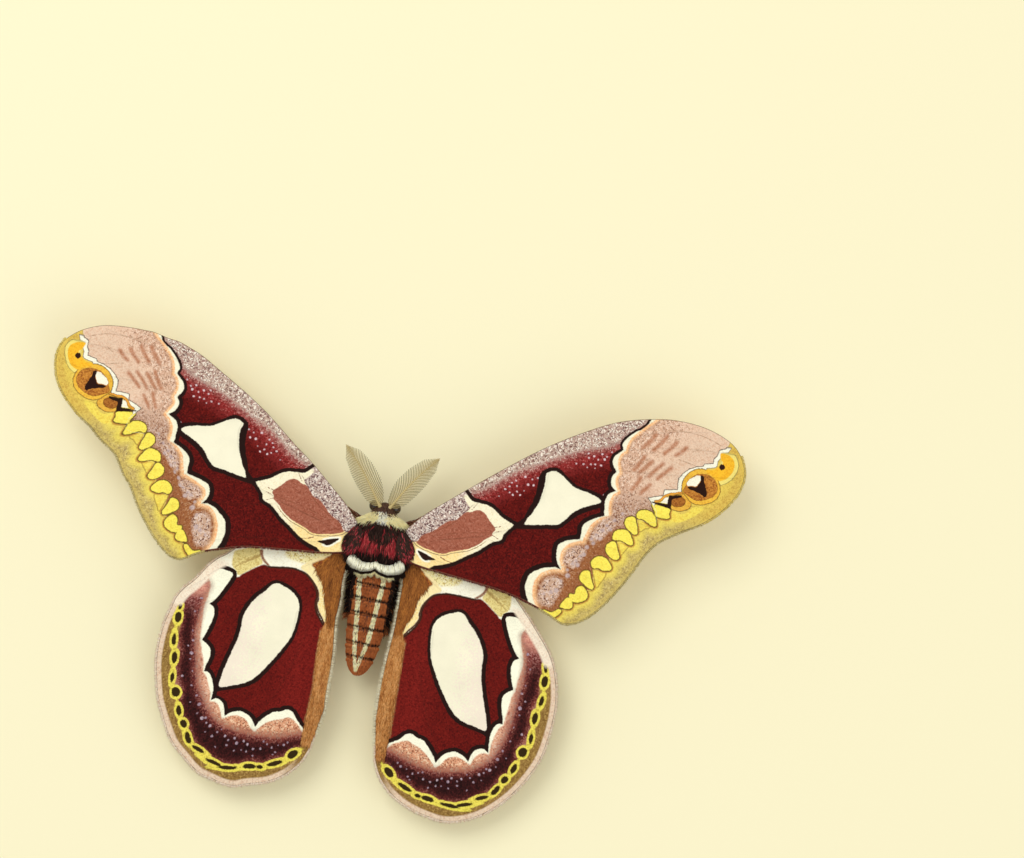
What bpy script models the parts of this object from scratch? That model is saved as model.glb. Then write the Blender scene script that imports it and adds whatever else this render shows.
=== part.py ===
"""Life-size still model of a male window-winged silk moth, standing on its six legs with its wings spread.

The moth heads along +Y with its wings out along X and its feet on the plane Z = 0. Sizes are in millimetres
in the moth's own frame, whose origin is on the floor below the middle of the thorax, and MM turns them to metres.
Each wing is drawn once, as a right wing in plan, then turned a little about its root and mirrored for the left.
"""

import math
import random

import bmesh
import bpy
from mathutils import Matrix, Vector
from mathutils.geometry import delaunay_2d_cdt

MM = 0.001
GAP = 0.3
BODY_AT = (-0.6, 6.87)

# Body forms, from front to back: (y, half width, top, bottom)
THORAX = (
    (3.7, 0.0, 7.0, 7.0),
    (3.6, 2.4, 9.1, 4.6),
    (3.0, 4.3, 9.9, 3.6),
    (1.6, 5.4, 10.4, 3.0),
    (-0.4, 5.75, 10.55, 2.8),
    (-2.2, 5.4, 10.4, 3.0),
    (-3.6, 4.2, 9.6, 3.6),
    (-4.4, 2.3, 8.5, 4.7),
    (-4.6, 0.0, 6.8, 6.8),
)
COLLAR = (
    (5.25, 0.0, 6.6, 6.6),
    (5.15, 1.7, 8.2, 4.9),
    (4.6, 3.2, 9.3, 4.0),
    (3.7, 4.4, 10.0, 3.4),
    (2.7, 4.9, 10.2, 3.2),
    (1.6, 4.4, 9.4, 3.6),
    (1.2, 0.0, 6.6, 6.6),
)
HEAD = (
    (7.35, 0.0, 5.8, 5.8),
    (7.15, 0.95, 6.7, 4.8),
    (6.6, 1.75, 7.3, 4.1),
    (5.8, 2.15, 7.6, 3.9),
    (4.8, 2.1, 7.4, 4.2),
    (4.2, 0.0, 5.8, 5.8),
)
ABDOMEN = (
    (-3.3, 0.0, 6.3, 6.3),
    (-3.6, 2.4, 8.1, 4.3),
    (-4.6, 3.6, 9.0, 3.1),
    (-7.0, 3.95, 9.4, 2.7),
    (-11.0, 3.6, 9.1, 2.5),
    (-15.0, 3.25, 8.3, 2.5),
    (-18.5, 2.75, 7.4, 2.7),
    (-20.8, 2.0, 6.7, 3.2),
    (-21.9, 1.1, 6.0, 3.8),
    (-22.3, 0.0, 5.0, 5.0),
)
ABDOMEN_JOINTS = (-6.9, -9.3, -11.8, -14.2, -16.8, -19.2)
JOINT_DEPTH = 0.06
ABDOMEN_DRIFT = -0.6

EYE_AT = (1.72, 6.3, 5.6)
EYE_RADIUS = 0.95

# Antenna: the shaft from the head to the tip, and the longest branch
ANTENNA_SHAFT = ((0.8, 6.3, 6.9), (1.6, 7.5, 7.6), (3.0, 9.7, 8.1), (5.3, 12.8, 8.3), (7.9, 15.7, 8.0))
SHAFT_RADIUS = 0.34
BRANCH_PAIRS = 15
BRANCH_LENGTH = 2.75
BRANCH_WIDTH = 0.46
BRANCH_ANGLE = 50.0

# Locks of the long fur: on the back in rows (y, widest angle from the top, how many), two tufts over the
# root of the abdomen, and the ruff of the collar
BACK_ROWS = ((1.9, 36.0, 6), (0.9, 42.0, 7), (-0.2, 43.0, 8), (-1.4, 42.0, 7), (-2.6, 40.0, 6))
LOCK_LENGTH = 2.3
LOCK_WIDTH = 1.25
LOCK_THICKNESS = 0.5
TUFT_SPREAD = (0.9, 1.9, 2.9, 3.7)
TUFT_LENGTH = 2.7
RUFF_LOCKS = 13
RUFF_REACH = 105.0

# Legs of the right side, hip to claw: (x, y, z, radius)
LEGS = {
    "fore": (
        (1.9, 1.6, 4.4, 0.9), (2.6, 2.6, 3.1, 0.9), (5.5, 4.3, 4.2, 0.75), (6.2, 4.7, 4.0, 0.66),
        (8.5, 5.6, 1.4, 0.56), (9.1, 5.9, 0.66, 0.42), (10.2, 6.4, 0.26, 0.36), (11.9, 7.3, 0.25, 0.35),
        (12.5, 7.6, 0.26, 0.22),
    ),
    "mid": (
        (2.6, -0.6, 4.2, 0.9), (3.5, -0.8, 3.0, 0.9), (7.3, -1.3, 4.3, 0.78), (8.1, -1.45, 4.1, 0.68),
        (11.3, -2.0, 1.4, 0.57), (12.0, -2.1, 0.66, 0.43), (13.3, -2.35, 0.26, 0.36), (15.1, -2.8, 0.25, 0.35),
        (15.8, -3.0, 0.26, 0.22),
    ),
    "hind": (
        (2.5, -2.0, 4.2, 0.9), (4.0, -3.1, 2.7, 0.9), (6.0, -6.8, 4.2, 0.78), (6.5, -7.5, 4.1, 0.68),
        (7.7, -11.2, 1.4, 0.57), (7.9, -11.9, 0.66, 0.43), (8.2, -13.2, 0.26, 0.36), (8.6, -15.0, 0.25, 0.35),
        (8.7, -15.6, 0.26, 0.22),
    ),
}

# Wings: the membrane, the ridge that a vein raises on each face, and how the outline and veins are divided
MEMBRANE = 0.5
RIDGE = 0.2
VEIN_FOOT = 0.5
OUTLINE_STEP = 2.2
VEIN_STEP = 3.6
CELL_STEP = 5.0
CELL_CLEAR = 1.6

FOREWING_ROOT = (6.0, 1.0)
HINDWING_ROOT = (5.5, -2.5)
# The photographed moth holds its left wings a little higher than its right
FOREWING_TURN = {"right": -1.85, "left": 1.85}
HINDWING_TURN = {"right": -0.8, "left": 0.8}

FOREWING_OUTLINE = (
    (3.8, 2.4), (5.0, 4.3), (7.0, 6.4), (10.0, 8.9), (13.4, 11.7), (20.0, 17.0), (25.0, 20.7), (30.0, 23.9),
    (35.0, 26.4), (40.0, 28.1), (45.0, 28.8), (50.0, 28.3), (54.2, 26.6), (57.0, 24.0), (58.3, 21.0),
    (57.7, 17.8), (55.5, 15.0), (52.6, 12.9), (49.0, 10.8), (46.0, 8.6), (43.9, 5.8), (42.2, 2.6),
    (40.2, -0.6), (38.0, -3.8), (35.5, -6.5), (32.8, -7.6), (29.8, -6.9), (26.0, -5.3), (21.0, -3.9),
    (15.0, -3.2), (9.0, -2.6), (5.6, -2.0), (3.8, -1.2),
)
HINDWING_OUTLINE = (
    (3.9, -0.9), (6.5, -0.1), (10.0, 0.6), (14.5, 0.2), (19.0, -1.4), (23.2, -4.2), (26.4, -6.9),
    (29.2, -10.0), (31.4, -13.0), (32.8, -17.0), (33.4, -22.0), (33.2, -27.0), (32.0, -32.0),
    (29.9, -36.6), (26.8, -40.2), (23.0, -42.6), (18.8, -43.6), (14.6, -43.2), (10.8, -41.8),
    (7.8, -39.4), (5.8, -36.4), (4.6, -32.5), (4.0, -28.0), (3.95, -23.0), (4.3, -18.0), (4.7, -13.0),
    (4.8, -8.5), (4.8, -5.0), (4.2, -3.6),
)
FOREWING_VEINS = {
    "subcosta": ((4.0, 2.2), (8.0, 6.2), (15.0, 12.2), (25.0, 19.8), (34.0, 25.0), (41.0, 28.0)),
    "radius": ((4.0, 1.6), (8.0, 4.3), (14.0, 8.9), (20.0, 13.4), (25.6, 17.2)),
    "radius_upper": ((25.6, 17.2), (30.0, 20.2), (36.0, 23.9), (43.0, 26.6), (50.5, 28.0)),
    "radius_lower": ((30.0, 20.2), (37.3, 22.6), (47.0, 24.6), (56.0, 25.1)),
    "media_1": ((25.6, 17.2), (31.0, 18.4), (37.1, 19.1), (47.0, 20.1), (58.0, 21.4)),
    "media_2": ((25.6, 17.2), (31.5, 16.3), (37.4, 15.6), (46.0, 15.4), (56.1, 15.7)),
    "cell_end": ((25.6, 17.2), (25.2, 12.4), (22.4, 7.0)),
    "media_3": ((22.4, 7.0), (27.0, 7.4), (31.0, 9.8), (37.0, 11.4), (44.0, 10.9), (50.0, 11.4)),
    "cubitus": ((4.2, 0.6), (10.0, 2.5), (16.5, 4.4), (22.4, 7.0)),
    "cubitus_1": ((22.4, 7.0), (28.0, 6.3), (33.6, 6.7), (39.0, 6.2), (44.4, 6.6)),
    "cubitus_2": ((16.5, 4.4), (23.0, 2.8), (30.5, 1.8), (36.0, 0.6), (40.6, 0.0)),
    "anal": ((4.4, -0.4), (12.0, -1.3), (21.0, -2.4), (28.0, -4.2), (33.4, -7.5)),
}
HINDWING_VEINS = {
    "subcosta": ((4.2, -1.6), (10.0, -1.6), (17.0, -2.9), (24.0, -7.0), (31.3, -13.0)),
    "radius": ((4.2, -2.2), (9.0, -4.4), (15.4, -8.8)),
    "radial_sector": ((15.4, -8.8), (20.5, -11.4), (25.7, -14.4), (33.0, -18.2)),
    "media_1": ((15.4, -8.8), (20.5, -14.5), (26.0, -20.1), (33.3, -24.4)),
    "media_2": ((20.5, -14.5), (21.6, -20.0), (25.2, -25.2), (32.3, -30.6)),
    "cubitus": ((4.4, -2.8), (8.2, -7.2), (11.2, -13.0)),
    "cell_end": ((11.2, -13.0), (11.7, -18.0), (14.2, -23.3)),
    "media_3": ((14.2, -23.3), (18.0, -26.9), (23.4, -29.7), (28.8, -37.9)),
    "cubitus_1": ((14.2, -23.3), (17.2, -27.6), (20.7, -32.0), (24.2, -42.0)),
    "cubitus_2": ((8.2, -7.2), (9.6, -18.0), (12.4, -27.0), (15.3, -33.2), (17.3, -43.5)),
    "anal": ((4.6, -3.4), (6.6, -11.0), (7.0, -22.0), (7.4, -31.0), (8.6, -40.1)),
}


def clear_scene():
    """Empties the file of objects, meshes and curves left by its start-up scene."""
    for obj in list(bpy.data.objects):
        bpy.data.objects.remove(obj, do_unlink=True)


def smooth(points, per_span=16, closed=False):
    """Points of a Catmull-Rom curve through the given ones, of any number of coordinates."""
    count = len(points)
    spans = count if closed else count - 1
    found = []
    for i in range(spans):
        if closed:
            quad = [points[(i + k) % count] for k in (-1, 0, 1, 2)]
        else:
            quad = [points[min(max(i + k, 0), count - 1)] for k in (-1, 0, 1, 2)]
        for step in range(per_span):
            t = step / per_span
            weights = (
                (-t + 2 * t**2 - t**3) / 2,
                (2 - 5 * t**2 + 3 * t**3) / 2,
                (t + 4 * t**2 - 3 * t**3) / 2,
                (-(t**2) + t**3) / 2,
            )
            found.append(tuple(sum(w * p[k] for w, p in zip(weights, quad)) for k in range(len(points[0]))))
    if not closed:
        found.append(tuple(points[-1]))
    return found


def evenly(points, step, closed=False):
    """The smooth curve through the points, divided into equal lengths near the given step."""
    curve = smooth(points, closed=closed)
    if closed:
        curve.append(curve[0])
    lengths = [0.0]
    for a, b in zip(curve, curve[1:]):
        lengths.append(lengths[-1] + math.dist(a, b))
    pieces = max(1, round(lengths[-1] / step))
    found, at = [], 0
    for i in range(pieces + (0 if closed else 1)):
        want = lengths[-1] * i / pieces
        while at < len(lengths) - 2 and lengths[at + 1] < want:
            at += 1
        share = (want - lengths[at]) / max(lengths[at + 1] - lengths[at], 1e-9)
        found.append(tuple(a + (b - a) * share for a, b in zip(curve[at], curve[at + 1])))
    return found


def material(name, colour, roughness=0.8):
    """A Principled material of one colour, given as red, green and blue."""
    made = bpy.data.materials.get(name) or bpy.data.materials.new(name)
    made.use_nodes = True
    shader = made.node_tree.nodes["Principled BSDF"]
    shader.inputs["Base Color"].default_value = (*colour, 1.0)
    shader.inputs["Roughness"].default_value = roughness
    shader.inputs["Metallic"].default_value = 0.0
    return made


def new_object(name, mesh, collection):
    """Links a mesh to a collection as an object of that name."""
    obj = bpy.data.objects.new(name, mesh)
    collection.objects.link(obj)
    return obj


def evaluated_mesh(obj):
    """The object's mesh with its modifiers applied, or the mesh that its curve makes."""
    graph = bpy.context.evaluated_depsgraph_get()
    return bpy.data.meshes.new_from_object(obj.evaluated_get(graph))


def weld_outward(mesh):
    """Welds a curve's loose end caps to its side and turns every face outward."""
    shape = bmesh.new()
    shape.from_mesh(mesh)
    bmesh.ops.remove_doubles(shape, verts=shape.verts, dist=0.005 * MM)
    bmesh.ops.recalc_face_normals(shape, faces=shape.faces)
    shape.to_mesh(mesh)
    shape.free()


def apply_modifiers(obj):
    """Replaces the object's mesh by the one that its modifiers give."""
    bpy.context.view_layer.update()
    mesh = evaluated_mesh(obj)
    obj.modifiers.clear()
    obj.data = mesh


def drop_flaps(shape):
    """Removes pairs of triangles that lie back to back on the same three corners."""
    corners = {}
    for face in shape.faces:
        corners.setdefault(frozenset(face.verts), []).append(face)
    flaps = [face for same in corners.values() if len(same) > 1 for face in same]
    bmesh.ops.delete(shape, geom=flaps, context="FACES")


def keep_largest(obj):
    """Keeps only the closed surface that holds the most volume."""
    shape = bmesh.new()
    shape.from_mesh(obj.data)
    bmesh.ops.triangulate(shape, faces=shape.faces, ngon_method="EAR_CLIP")
    drop_flaps(shape)
    left, bodies = set(shape.faces), []
    while left:
        found, reach = set(), [left.pop()]
        while reach:
            face = reach.pop()
            found.add(face)
            for edge in face.edges:
                for other in edge.link_faces:
                    if other in left:
                        left.remove(other)
                        reach.append(other)
        volume = sum(f.verts[0].co.dot(f.verts[1].co.cross(f.verts[2].co)) / 6 for f in found)
        bodies.append((volume, found))
    bodies.sort(key=lambda body: body[0])
    scraps = [face for _, body in bodies[:-1] for face in body]
    bmesh.ops.delete(shape, geom=scraps, context="FACES")
    shape.to_mesh(obj.data)
    shape.free()


def boolean(obj, operation, other=None, collection=None, solver="EXACT"):
    """Applies one Boolean, with another object or a collection of them, and drops any scrap."""
    cut = obj.modifiers.new(operation.lower(), "BOOLEAN")
    cut.operation = operation
    cut.solver = solver
    if collection:
        cut.operand_type = "COLLECTION"
        cut.collection = collection
    else:
        cut.object = other
    apply_modifiers(obj)
    keep_largest(obj)


def seat(obj, neighbours, gap=GAP):
    """Cuts the object back to stand a thin gap clear of its neighbours, face to face with them."""
    for neighbour in neighbours:
        cutter = new_object("clearance_" + neighbour.name, neighbour.data.copy(), CUTTERS)
        cutter.matrix_world = neighbour.matrix_world.copy()
        swell = bmesh.new()
        swell.from_mesh(cutter.data)
        swell.normal_update()
        for vertex, out in [(v, v.normal.copy()) for v in swell.verts]:
            vertex.co += out * gap * MM
        swell.to_mesh(cutter.data)
        swell.free()
        boolean(obj, "DIFFERENCE", other=cutter)
        bpy.data.objects.remove(cutter)


def form(name, stations, rings, segments, collection, squareness=0.9, pinch=None, drift=None):
    """A rounded body: a sphere whose rings follow the stations, front to back.

    rings is how many there are between the two poles, or the list of their y. pinch(y) scales a ring and
    drift(y) moves it sideways.
    """
    curve = smooth(stations)
    if isinstance(rings, int):
        rows = [curve[round(i * (len(curve) - 1) / (rings + 1))] for i in range(rings + 2)]
    else:
        rows = [curve[0]]
        rows += [min(curve, key=lambda row, y=y: abs(row[0] - y)) for y in rings]
        rows.append(curve[-1])
    shape = bmesh.new()
    bmesh.ops.create_uvsphere(shape, u_segments=segments, v_segments=len(rows) - 1, radius=1.0)
    for vertex in shape.verts:
        polar = math.acos(max(-1.0, min(1.0, vertex.co.z)))
        y, half, top, bottom = rows[round(polar / math.pi * (len(rows) - 1))]
        turn = math.atan2(vertex.co.y, vertex.co.x)
        middle, rise = (top + bottom) / 2, (top - bottom) / 2
        scale = pinch(y) if pinch else 1.0
        across = math.copysign(abs(math.cos(turn)) ** squareness, math.cos(turn))
        up = math.copysign(abs(math.sin(turn)) ** squareness, math.sin(turn))
        aside = drift(y) if drift else 0.0
        vertex.co = Vector((aside - half * scale * across, y, middle + rise * scale * up)) * MM
    bmesh.ops.remove_doubles(shape, verts=shape.verts, dist=0.01 * MM)
    bmesh.ops.recalc_face_normals(shape, faces=shape.faces)
    mesh = bpy.data.meshes.new(name)
    shape.to_mesh(mesh)
    shape.free()
    mesh.shade_smooth()
    return new_object(name, mesh, collection)


def tube(name, points, radii, sides_level, collection, profile=None, tilt=0.0):
    """A tapering tube along the points, made as a bevelled curve and converted to a mesh.

    With a profile, a closed flat curve, that outline is swept in place of a circle.
    """
    curve = bpy.data.curves.new(name, "CURVE")
    curve.dimensions = "3D"
    curve.twist_mode = "Z_UP"
    spline = curve.splines.new("POLY")
    spline.points.add(len(points) - 1)
    for point, place, radius in zip(spline.points, points, radii):
        point.co = (*(Vector(place) * MM), 1.0)
        point.radius = radius
        point.tilt = tilt
    curve.use_fill_caps = True
    if profile:
        curve.bevel_mode = "OBJECT"
        curve.bevel_object = profile
    else:
        curve.bevel_depth = MM
        curve.bevel_resolution = sides_level
    holder = new_object(name + "_path", curve, collection)
    bpy.context.view_layer.update()
    mesh = evaluated_mesh(holder)
    bpy.data.objects.remove(holder)
    weld_outward(mesh)
    return new_object(name, mesh, collection)


def triangulate(mesh):
    """Splits every face of the mesh into triangles, so that a Boolean meets only flat faces."""
    shape = bmesh.new()
    shape.from_mesh(mesh)
    bmesh.ops.triangulate(shape, faces=shape.faces)
    shape.to_mesh(mesh)
    shape.free()


def fuse(obj, pieces, solver="EXACT"):
    """Joins the closed pieces to the object in one union and removes them."""
    for piece in (obj, *pieces):
        triangulate(piece.data)
    together = bpy.data.collections.new("pieces_of_" + obj.name)
    CUTTERS.children.link(together)
    for piece in pieces:
        for holder in list(piece.users_collection):
            holder.objects.unlink(piece)
        together.objects.link(piece)
    boolean(obj, "UNION", collection=together, solver=solver)
    for piece in pieces:
        bpy.data.objects.remove(piece)
    bpy.data.collections.remove(together)


def mirrored(points, side):
    """Points of the right side, or their mirror images for the left."""
    return [(x * side, *rest) for x, *rest in points]


def distance_to_path(point, path):
    """The shortest distance from a point in plan to a path of straight pieces."""
    best = 1e9
    for a, b in zip(path, path[1:]):
        along = Vector(b) - Vector(a)
        share = max(0.0, min(1.0, (Vector(point) - Vector(a)).dot(along) / along.length_squared))
        best = min(best, (Vector(point) - Vector(a) - along * share).length)
    return best


def forewing_height(x, y):
    """Height of the forewing's middle surface: it rises along the wing, crowns and droops behind."""
    axis = math.radians(21.4)
    along = (x - FOREWING_ROOT[0]) * math.cos(axis) + (y - FOREWING_ROOT[1]) * math.sin(axis)
    across = (y - FOREWING_ROOT[1]) * math.cos(axis) - (x - FOREWING_ROOT[0]) * math.sin(axis)
    return 8.75 + 0.11 * along - 0.0018 * along**2 - 0.0055 * (across + 2.0) ** 2


def hindwing_height(x, y):
    """Height of the hindwing's middle surface: below the forewing, sinking to its hind margin."""
    out = math.hypot(x - HINDWING_ROOT[0], y - HINDWING_ROOT[1])
    fold = max(0.0, 1.0 - (x - HINDWING_ROOT[0] + 1.5) / 6.0)
    return 7.3 + 0.03 * out - 0.0021 * out**2 - 0.5 * fold**2


def skin_at(stations, y, angle):
    """A point on a body's skin and the way out of it, at a given y and angle in degrees from the top."""
    row = min(smooth(stations), key=lambda place: abs(place[0] - y))
    middle, rise = (row[2] + row[3]) / 2, (row[2] - row[3]) / 2
    turn = math.radians(angle)
    place = Vector((row[1] * math.sin(turn), y, middle + rise * math.cos(turn)))
    return place, Vector((rise * math.sin(turn), 0.0, row[1] * math.cos(turn))).normalized()


def lock(name, root, out, lie, length, width):
    """A flat tapering lock of fur that leaves the skin outward and bends over to lie along a direction."""
    across = out.cross(lie).normalized()
    points, faces = [], []
    for share, wide, rise in ((0.0, 0.8, -0.14), (0.35, 1.0, 0.12), (0.72, 0.66, 0.22)):
        middle = root + (lie * share + out * rise) * length
        for aside, up in ((0.5, 0.0), (0.0, 0.5), (-0.5, 0.0), (0.0, -0.5)):
            points.append(middle + across * aside * width * wide + out * up * LOCK_THICKNESS)
    points.append(root + (lie + out * 0.24) * length)
    faces.append((3, 2, 1, 0))
    for ring in (0, 4):
        for side in range(4):
            after = (side + 1) % 4
            faces.append((ring + side, ring + after, ring + 4 + after, ring + 4 + side))
    for side in range(4):
        faces.append((8 + side, 8 + (side + 1) % 4, 12))
    mesh = bpy.data.meshes.new(name)
    mesh.from_pydata([point * MM for point in points], [], faces)
    weld_outward(mesh)
    return new_object(name, mesh, MOTH)


def back_locks():
    """The locks of the thorax: rows that lie back over one another, and a tuft on each side of the rear."""
    found = []
    uneven = random.Random(11)
    backward = Vector((0.0, -1.0, 0.0))
    for row, (y, widest, count) in enumerate(BACK_ROWS):
        for number in range(count):
            angle = widest * (2 * number / (count - 1) - 1)
            root, out = skin_at(THORAX, y, angle)
            sway = 0.16 * math.sin(math.radians(angle)) + uneven.uniform(-0.08, 0.08)
            lie = (backward + Vector((sway, 0.0, 0.0))).normalized()
            lie = (lie - out * lie.dot(out)).normalized()
            root += out * uneven.uniform(-0.06, 0.06) + lie * uneven.uniform(-0.15, 0.15)
            length = LOCK_LENGTH * uneven.uniform(0.9, 1.08)
            found.append(lock(f"back_lock_{row}_{number}", root, out, lie, length, LOCK_WIDTH))
    for word, side in SIDES:
        for number, x in enumerate(TUFT_SPREAD):
            root = Vector((x * side, -2.9 + 0.12 * x, 9.55 - 0.05 * x * x))
            root += Vector((0.0, uneven.uniform(-0.1, 0.1), uneven.uniform(-0.05, 0.05)))
            lie = Vector((side * uneven.uniform(0.05, 0.15), -1.0, 0.12)).normalized()
            out = Vector((0.1 * x * side, 0.12, 1.0)).normalized()
            found.append(lock(f"rear_tuft_{word}_{number}", root, out, lie, TUFT_LENGTH, LOCK_WIDTH))
    return found


def ruff_locks():
    """The locks of the collar: a ruff that stands out round the neck and leans a little forward."""
    found = []
    uneven = random.Random(11)
    for number in range(RUFF_LOCKS):
        angle = RUFF_REACH * (2 * number / (RUFF_LOCKS - 1) - 1) + uneven.uniform(-2.0, 2.0)
        root, out = skin_at(COLLAR, 3.9 + uneven.uniform(-0.12, 0.12), angle)
        lie = (out + Vector((0.0, uneven.uniform(0.38, 0.52), 0.0))).normalized()
        up = Vector((0.0, 1.0, 0.0)) - lie * lie.y
        found.append(lock(f"ruff_{number}", root - out * 0.5, up.normalized(), lie, 1.35, LOCK_WIDTH))
    return found


def wing_plan(outline, veins):
    """Vertices and triangles of a wing in plan, with an edge along every vein, and each vertex's share of a ridge."""
    rim = evenly(outline, OUTLINE_STEP, closed=True)
    paths = [evenly(points, VEIN_STEP) for points in veins.values()]
    points, edges = list(rim), []
    for path in paths:
        first = len(points)
        points += path
        edges += [(first + i, first + i + 1) for i in range(len(path) - 1)]
    for number, path in enumerate(paths):
        others = paths[:number] + paths[number + 1 :]
        for hand in (-1, 1):
            before = None
            for i in range(1, len(path) - 1):
                run = Vector(path[i + 1]) - Vector(path[i - 1])
                foot = Vector(path[i]) + Vector((-run.y, run.x)).normalized() * VEIN_FOOT * hand
                clear = min(distance_to_path(foot, other) for other in others) > VEIN_FOOT * 1.5
                if clear and distance_to_path(foot, rim) > VEIN_FOOT:
                    points.append(tuple(foot))
                    if before is not None:
                        edges.append((before, len(points) - 1))
                    before = len(points) - 1
                else:
                    before = None
    low = [min(p[k] for p in rim) for k in (0, 1)]
    high = [max(p[k] for p in rim) for k in (0, 1)]
    rows = int((high[1] - low[1]) / CELL_STEP) + 1
    columns = int((high[0] - low[0]) / CELL_STEP) + 1
    for row in range(rows):
        for column in range(columns):
            spot = (low[0] + (column + 0.5 * (row % 2)) * CELL_STEP, low[1] + row * CELL_STEP)
            near = min(distance_to_path(spot, path) for path in [*paths, [*rim, rim[0]]])
            if near > CELL_CLEAR:
                points.append(spot)
    vectors = [Vector(p) for p in points]
    found = delaunay_2d_cdt(vectors, edges, [list(range(len(rim)))], 1, 0.02)
    places, faces = found[0], found[2]
    crest = []
    for place in places:
        near = min(distance_to_path(place, path) for path in paths)
        crest.append(max(0.0, 1.0 - near / VEIN_FOOT))
    return places, faces, crest


def wing(name, plan, height, root, side, turn, neighbours):
    """A wing: the plan raised to its height, thickened most along the veins and parted from the body."""
    places, faces, crest = plan
    mesh = bpy.data.meshes.new(name)
    mesh.from_pydata(
        [((x - root[0]) * side * MM, (y - root[1]) * MM, height(x, y) * MM) for x, y in places], [], faces
    )
    upright = bmesh.new()
    upright.from_mesh(mesh)
    bmesh.ops.triangulate(upright, faces=upright.faces)
    bmesh.ops.recalc_face_normals(upright, faces=upright.faces)
    if sum(face.normal.z for face in upright.faces) < 0:
        bmesh.ops.reverse_faces(upright, faces=upright.faces)
    upright.to_mesh(mesh)
    upright.free()
    obj = new_object(name, mesh, MOTH)
    obj.location = Vector((root[0] * side, root[1], 0.0)) * MM
    obj.rotation_euler = (0.0, 0.0, math.radians(turn) * side)
    thickest = MEMBRANE + 2 * RIDGE
    ridges = obj.vertex_groups.new(name="veins")
    for index, share in enumerate(crest):
        ridges.add([index], (MEMBRANE + 2 * RIDGE * share) / thickest, "REPLACE")
    thicken = obj.modifiers.new("membrane and veins", "SOLIDIFY")
    thicken.thickness = thickest * MM
    thicken.offset = 0.0
    thicken.vertex_group = ridges.name
    apply_modifiers(obj)
    seat(obj, neighbours)
    return obj


def antenna(name, side, head):
    """A feathered antenna: a tapering shaft with a branch on each side at every joint, all in one flat blade."""
    shaft_path = evenly(mirrored(ANTENNA_SHAFT, side), 0.95)
    last = len(shaft_path) - 1
    radii = [SHAFT_RADIUS * (1.0 - 0.55 * i / last) for i in range(last + 1)]
    shaft = tube(name, shaft_path, radii, 1, MOTH)
    branches = []
    for pair in range(BRANCH_PAIRS):
        share = (pair + 1.2) / (BRANCH_PAIRS + 0.6)
        place = share * last
        low = min(int(place), last - 1)
        root = Vector(shaft_path[low]).lerp(Vector(shaft_path[low + 1]), place - low)
        along = (Vector(shaft_path[low + 1]) - Vector(shaft_path[low])).normalized()
        aside = along.cross(Vector((0.0, 0.0, 1.0))).normalized()
        length = BRANCH_LENGTH * math.sin(math.pi * (0.14 + 0.8 * share) ** 0.8) ** 0.75
        for hand in (-1, 1):
            lean = math.radians(BRANCH_ANGLE)
            out = along * math.cos(lean) + aside * hand * math.sin(lean)
            bend = along * 0.12 * length
            base = root + aside * hand * 0.06 + along * hand * 0.05
            path = [base, base + out * length * 0.55 + bend * 0.35, base + out * length + bend]
            taper = [BRANCH_WIDTH / 2, BRANCH_WIDTH * 0.4, BRANCH_WIDTH * 0.16]
            branches.append(tube(f"{name}_branch_{pair}_{hand}", path, taper, 0, MOTH))
    fuse(shaft, branches, solver="MANIFOLD")
    seat(shaft, [head])
    return shaft


def leg(name, path, side, neighbours):
    """A leg from hip to claw, its tarsus cut flat where it stands on the floor."""
    places = mirrored([row[:3] for row in path], side)
    obj = tube(name, places, [row[3] for row in path], 1, MOTH)
    stand = bmesh.new()
    stand.from_mesh(obj.data)
    everything = stand.verts[:] + stand.edges[:] + stand.faces[:]
    sole = bmesh.ops.bisect_plane(
        stand, geom=everything, plane_co=(0, 0, 0), plane_no=(0, 0, -1), clear_outer=True, dist=0.002 * MM
    )
    rim = [part for part in sole["geom_cut"] if isinstance(part, bmesh.types.BMEdge)]
    bmesh.ops.holes_fill(stand, edges=rim, sides=0)
    bmesh.ops.recalc_face_normals(stand, faces=stand.faces)
    stand.to_mesh(obj.data)
    stand.free()
    seat(obj, neighbours)
    return obj


def paint(obj, surface):
    """Gives the object its one material."""
    obj.data.materials.clear()
    obj.data.materials.append(surface)


def abdomen_pinch(y):
    """How much a ring of the abdomen narrows: most at the joints between segments."""
    near = min(abs(y - joint) for joint in ABDOMEN_JOINTS)
    return 1.0 - JOINT_DEPTH * max(0.0, 1.0 - near / 0.45)


def abdomen_drift(y):
    """The abdomen bends slightly to the left towards its tip."""
    share = max(0.0, (ABDOMEN[0][0] - y) / (ABDOMEN[0][0] - ABDOMEN[-1][0]))
    return ABDOMEN_DRIFT * share**1.5


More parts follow.
